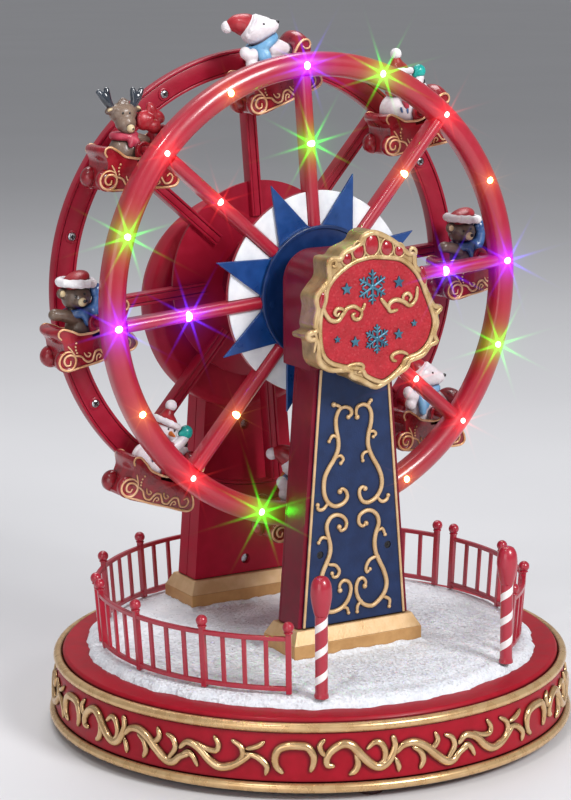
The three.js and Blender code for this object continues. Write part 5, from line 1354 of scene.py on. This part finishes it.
# By kind: [part, finish, record slot, lumps, and maybe ropes]. A lump is a centre, radii and maybe a lean
# in degrees, and a rope is a path with the radii along it
FIGURES = {
    "brown_bear": [
        ("fur", BROWN_FUR, "brown_resin", [
            ((-4.5, 0, -3), (7.6, 6.8, 8.6)), ((-3, 0, 12.4), (7.2, 6.9, 6.6)),
            ((-9.9, -1, 16.2), (2.9, 1.7, 2.8)), ((4, 1, 16.2), (2.8, 1.7, 2.8)),
            ((-3.6, -5.4, 11.2), (3.6, 3, 3)), ((-17, -3.5, 8.2), (3.2, 2.9, 2.9))],
         [([(-6, -2, 2.5), (-9.5, -3, 4.6), (-13, -3.5, 6.6), (-16.5, -3.5, 8)], (3.6, 3.3, 2.9, 2.8))]),
        ("inner_ears", CREAM, "brown_resin", [
            ((-10.2, -2.2, 16.2), (1.8, 0.9, 1.8)), ((4.2, -0.2, 16.2), (1.7, 0.9, 1.7))]),
        ("snout", CREAM, "white_resin", [((-3.8, -7.8, 10.9), (2.3, 1.8, 2.2))]),
        ("nose", DARK, "black_plastic", [
            ((-3.1, -9.4, 11.3), (1.1, 0.8, 0.9)), ((-5.8, -6.3, 14), (0.6, 0.5, 0.7)),
            ((-1.4, -6.5, 14), (0.6, 0.5, 0.7))]),
        ("brim", TRIM_FUR, "white_resin",
         fur_ring(Vector((-1.6, 0, 19)), Vector((0.964, 0, -0.266)), SIDEWAYS, 7.9, 2.1)),
        ("hat", HAT_RED, "crimson_plastic", [((-1.3, 0.6, 19.6), (7.2, 7.2, 3.9), 15)],
         [([(0.8, 3, 19.2), (2.8, 6.5, 18.4), (3.8, 9, 16.6)], (3.6, 2.8, 1.7))]),
        ("pom", TRIM_FUR, "white_resin", [((4, 9.6, 15.4), (2.7, 2.7, 2.7))]),
        ("scarf", DEEP_BLUE, "blue_plastic", [
            ((6.2, -3.2, 13), (3.3, 2.9, 3.7), -10), ((8.2, -3, 9.8), (1.7, 1.5, 1.9))],
         [(hoop((-4, 0, 5.6), ALONG, 5.6, 5.4), (2.3,)),
          ([(1, -3.4, 3), (4, -3.4, 5.6), (6, -3.2, 9.4)], (3.4, 3.1, 2.7)),
          ([(-4, -6.4, 5.2), (-3.4, -7, 2.6), (-3.2, -6.9, 0.2)], (1.9, 1.8, 1.6))]),
    ],
    "polar_bear": [
        ("fur", WHITE_FUR, "white_resin", [
            ((-3, 0, 0.5), (8.6, 6.9, 10.4)), (POLAR_HEAD, (7.8, 7, 7.2)),
            (at_head(3.4, 0, -0.4), (6, 5.4, 5.8)), (at_head(6.4, 0, -0.9), (4.4, 3.9, 4)),
            (at_head(8.8, 0, -0.7), (3, 2.7, 2.8)),
            (at_head(-3.4, -5.6, -0.6), (2, 1.3, 2.2)), (at_head(-3.4, 5.6, -0.6), (2, 1.3, 2.2)),
            ((-14, -4, 10.6), (2.9, 2.6, 3.1)), ((-12.6, -4.4, 4.4), (3.2, 2.8, 3.4))],
         [([(-4, -2, 6), (-8, -3.2, 7.4), (-12, -4, 8.4), (-13.6, -4, 9.6)], (4.2, 3.6, 3, 2.8)),
          ([(0, -2.5, 7.5), (4.6, -2.6, 5.6), (9.2, -2.2, 2.8)], (5.2, 4.2, 2.6)),
          ([(0, 3, 7), (4.6, 3.4, 5), (8.8, 3.4, 2.4)], (4.8, 3.8, 2.4))]),
        ("nose", DARK, "black_plastic", [
            (at_head(11.2, 0, 0.4), (1.1, 1.1, 1)), (at_head(5, -4.6, 2.2), (0.6, 0.5, 0.65)),
            (at_head(5, 4.6, 2.2), (0.6, 0.5, 0.65))]),
        ("brim", TRIM_FUR, "white_resin",
         fur_ring(POLAR_HEAD + HAT_UP * 2.3, CHEEK, HAT_FRONT, 5.9, 1.4)),
        ("hat", HAT_RED, "crimson_plastic", [],
         [([at_hat(-2, 0), at_hat(1.6, 0), at_hat(4.2, 1.6), at_hat(4.8, 3.5), at_hat(4.8, 4.9)],
           (6.1, 5.8, 4.8, 3.6, 2.6))]),
        ("pom", TRIM_FUR, "white_resin", [(at_hat(4.2, 6.4), (3.1, 3.1, 3.1))]),
        ("scarf", SCARF_BLUE, "blue_plastic", [],
         [(hoop((-2.2, 0, 10.6), Vector((0.98, 0, 0.18)), 6.7, 6.2), (2.3,)),
          ([(-6.6, -4.6, 9.8), (-7.4, -6.6, 6.4), (-7, -7, 3), (-6.8, -6.9, 0.6)],
           (2.4, 2.3, 2.1, 2)),
          ([(-5, -5.6, 9.8), (-4.6, -7.2, 6), (-4.8, -7.1, 3.4)], (1.8, 1.7, 1.5))]),
    ],
    "reindeer": [
        ("fur", DEER_FUR, "brown_resin", [
            ((-6, 0, -2.5), (7.6, 6.8, 9)), ((-5.9, 0, 16.6), (6.9, 5.8, 5.2)),
            ((-5.6, -2.2, 12.2), (5, 5, 4.8)),
            ((-12.2, -0.6, 18.4), (3.6, 1.8, 1.9), 26), ((0.9, 0.4, 18.8), (3.6, 1.8, 1.9), -26),
            ((-5.4, -4, 9.6), (3.6, 3.4, 3.2)), ((-6.4, -1.5, 22.2), (1.6, 1.6, 1.9)),
            ((-4.8, -2.4, 21.6), (1.2, 1.3, 1.5)), ((-8, -1.8, 21.4), (1.2, 1.3, 1.4)),
            ((4.6, -2.4, 3.4), (2.6, 2.4, 2.3)), ((3.2, -3.6, 0.2), (2.7, 2.4, 2.2))],
         [([(-4, -2, 4), (0, -2.6, 4.4), (4.2, -2.6, 3.6)], (3.4, 3, 2.4)),
          ([(-4, -4, 0), (0, -4.2, 0), (3, -3.8, 0.2)], (3.2, 2.9, 2.4))]),
        ("ears", CREAM, "brown_resin", [
            ((-13.3, -2, 18.5), (1.9, 0.8, 0.9), 24), ((1.8, -1, 18.9), (1.9, 0.8, 0.9), -24)]),
        ("antlers", SMOKE, "black_plastic", [],
         [([(-11.4, 0, 19.4), (-13.8, 0, 21.8), (-16.2, 0, 24.6), (-18, 0, 26.6)], (1.9, 2.1, 1.9, 1.5)),
          ([(-12.6, 0, 20.6), (-13.6, 0, 23.8), (-14, 0, 27.6)], (1.9, 1.9, 1.5)),
          ([(-0.8, 0, 19.4), (0.4, 0, 21.8), (0, 0, 24.6), (-0.4, 0, 27.2)], (1.9, 2, 1.8, 1.4)),
          ([(0, 0, 20.6), (2, 0, 23.4), (4, 0, 27)], (1.9, 1.9, 1.4))]),
        ("nose", CREAM, "white_resin", [((-5.6, -7.6, 9.9), (1.95, 1.9, 1.95))]),
        ("eyes", DARK, "black_plastic", [
            ((-8.3, -5.2, 16.9), (0.6, 0.5, 0.7)), ((-5, -5.5, 16.9), (0.6, 0.5, 0.7)),
            ((-5.2, -9.3, 9.7), (0.6, 0.5, 0.6))]),
        ("scarf", SCARF_PINK, "crimson_plastic", [],
         [(hoop((-5.4, 0, 6), ALONG, 5, 5), (2.1,)),
          ([(-3, -5.6, 5), (-1.8, -6.4, 2.4), (-1.6, -6.6, -0.4)], (2, 1.9, 1.6)),
          ([(-4.6, -6, 5), (-5.4, -6.8, 2)], (1.7, 1.4))]),
        ("bow", HAT_RED, "crimson_plastic", [
            ((4.2, -1.6, 12.8), (4.6, 2.8, 4.8), 20), ((8.6, -1.4, 17.2), (2.6, 2.2, 4.4), 24),
            ((11.8, -1.2, 14.4), (2.8, 2.2, 4.2), 50), ((9, -2.2, 9.6), (4.2, 2.6, 3.2), -20),
            ((6.6, -2.8, 13.4), (2.2, 2, 2.2))]),
    ],
    "snowman": [
        ("body", WHITE_FUR, "white_resin", [
            ((-5.6, -0.8, -0.6), (9.6, 7.4, 10.6)), (SNOW_HEAD, (6.6, 6.4, 6.2)),
            ((6.2, -3, 15.6), (2.7, 2.6, 2.2))],
         [([(-1, -2.5, 8), (3, -3, 11), (6, -3, 15)], (4, 3.3, 2.6)),
          ([(0, 3, 7), (5, 3, 8.4), (10.5, 2.6, 9.4)], (4, 3.4, 3)),
          ([(-8, 1.5, 7), (-11, 3.4, 4.4), (-12.4, 3.8, 1)], (3.6, 3.1, 2.6))]),
        ("mitten", TEAL, "blue_plastic", [
            ((6.6, -3, 18.6), (3.5, 3, 3.6)), ((3.8, -3.2, 17.4), (1.5, 1.4, 1.7), 30),
            ((-12.6, 4, -1.6), (2.8, 2.6, 2.8))]),
        ("details", DARK, "black_plastic", [
            ((-4.9, -5.9, 18.2), (0.6, 0.5, 0.7)), ((-1.4, -6.1, 18.2), (0.6, 0.5, 0.7)),
            ((10.4, 2.4, 12.4), (2.2, 2, 2.2))]),
        ("buttons", DEEP_BLUE, "blue_plastic", [
            ((-9.4, -7.7, 2.6), (0.6, 0.6, 1.7), 8), ((-6.2, -8, 1.6), (0.6, 0.6, 1.7), -6)]),
        ("nose", ORANGE_PAINT, "crimson_plastic", [],
         [([(-3.2, -6, 16.4), (-3, -8.2, 16), (-2.8, -10.2, 15.7)], (1.3, 0.9, 0.4))]),
        ("brim", TRIM_FUR, "white_resin",
         fur_ring(Vector((-3.8, 0, 20.8)), Vector((0.98, 0, -0.16)), SIDEWAYS, 6.2, 1.7)),
        ("hat", HAT_RED, "crimson_plastic", [],
         [([(-3.8, 0, 20.4), (-3.9, 0, 22.6), (-4, 0, 25), (-3.8, 0, 27.4)], (6.1, 5, 3.1, 1.9))]),
        ("pom", TRIM_FUR, "white_resin", [((-3.7, 0, 29.2), (2.9, 2.9, 2.9))]),
        ("scarf", SCARF_PINK, "crimson_plastic", [],
         [(hoop((-3.8, 0, 10.8), ALONG, 5.9, 5.7), (1.9,)),
          ([(-5.4, -6.2, 9.8), (-6.2, -7.2, 6.4), (-6, -7.3, 3.6)], (1.9, 1.8, 1.5))]),
    ],
}
FINE_PARTS = ("nose", "eyes", "details", "buttons")
# The grain of the skin over a part's lumps, and how often it is smoothed
SKIN, FINE_SKIN = (0.55, 5), (0.3, 2)


def sculpted(name, form, look, body, slot, voxel, smooth, node):
    """Lumps run together into one skin."""
    piece = make(name, form, [look], node, body, smooth=180)
    skin_over = piece.modifiers.new("skin", "REMESH")
    skin_over.mode = "VOXEL"
    skin_over.voxel_size = voxel * MM
    skin_over.use_smooth_shade = True
    soften = piece.modifiers.new("soften", "SMOOTH")
    soften.factor = 0.5
    soften.iterations = smooth


def spread_over(count, values):
    """Values spread evenly over a count of points, with straight steps between them."""
    spread, spans = [], (count - 1) / max(1, len(values) - 1)
    for i in range(count):
        low = max(0, min(int(i / spans), len(values) - 2))
        share = i / spans - low
        spread.append(values[low] * (1 - share) + values[min(low + 1, len(values) - 1)] * share)
    return spread


def add_gondola(index):
    kind, body = KINDS[index], f"gondola_{index + 1}"
    centre = WHEEL_AT @ turn(SPOKE_ANGLES[index]) @ Vector((RIM_MIDDLE, 0, 0))
    at = shift(*centre) @ turn(radians(TILTS[index]))
    core, curls, trim, pins = (Form((form.points, form.faces)).moved(at) for form in SLEIGH)
    make(body + "_sleigh", core, [SLEIGH_RED], f"sleigh_{index + 1}", body=body, bevel=1.0, steps=3,
         smooth=42)
    make(body + "_curls", curls, [SLEIGH_RED], body=body, smooth=50)
    make(body + "_trim", trim, [SLEIGH_GOLD], None, body, smooth=60)
    make(body + "_pins", pins, [SLEIGH_RED], body=body, smooth=50)
    node = f"figure_{index + 1}_{kind}"
    for part, look, slot, lumps, *ropes in FIGURES[kind]:
        form = Form()
        for centre, radii, *lean in lumps:
            form.add(ball(centre, radii, turn(radians(sum(lean)))), at=at)
        for path, radii in sum(ropes, []):
            path = curve(path, 4)
            form.add(tube(path, spread_over(len(path), radii), 16, tips=5), at=at)
        sculpted(f"{body}_{part}", form, look, body, slot, *(FINE_SKIN if part in FINE_PARTS else SKIN), node)
        node = None


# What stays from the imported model, with its finish
KEPT = {
    "base_bottom_plate": BLACK, "dc_jack": BLACK, "slide_switch": BLACK, "switch_knob": BLACK, "axle": STEEL,
    "hub_spacer": SHADED_TOWER_CRIMSON, "slip_ring": BRASS, "front_bearing": BRASS, "rear_bearing": BRASS,
    "gear_motor": STEEL, "brush_holder": BLACK, "control_board": BOARD,
}


def finish_kept():
    for node, look in KEPT.items():
        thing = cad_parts[node]
        thing.data.materials.clear()
        thing.data.materials.append(look)
        round_edges(thing, 0.25, 2, 40)


set_stage()
set_camera()
set_picture()
add_base()
add_snow()
for fence, start in FENCES.items():
    add_fence(fence, start)
for side in ("left", "right"):
    add_pole("candy_pole_" + side)
for tower in ("front", "rear"):
    add_plinth(tower + "_tower_plinth")
add_front_tower()
add_panel()
add_sign()
add_rear_tower()
# The front wheel's plastic glows round its lamps: painted lamp light.
paint_lamp_glow(wheel_half("front_wheel", FRONT_AT, with_lamp_glow(CRIMSON, "painted_lamp_glow")))
wheel_half("rear_wheel", WHEEL_AT, SHADED_REAR_CRIMSON)
add_hub()
add_lamps()
SLEIGH = sleigh_forms()
for index in range(SPOKES):
    add_gondola(index)
finish_kept()
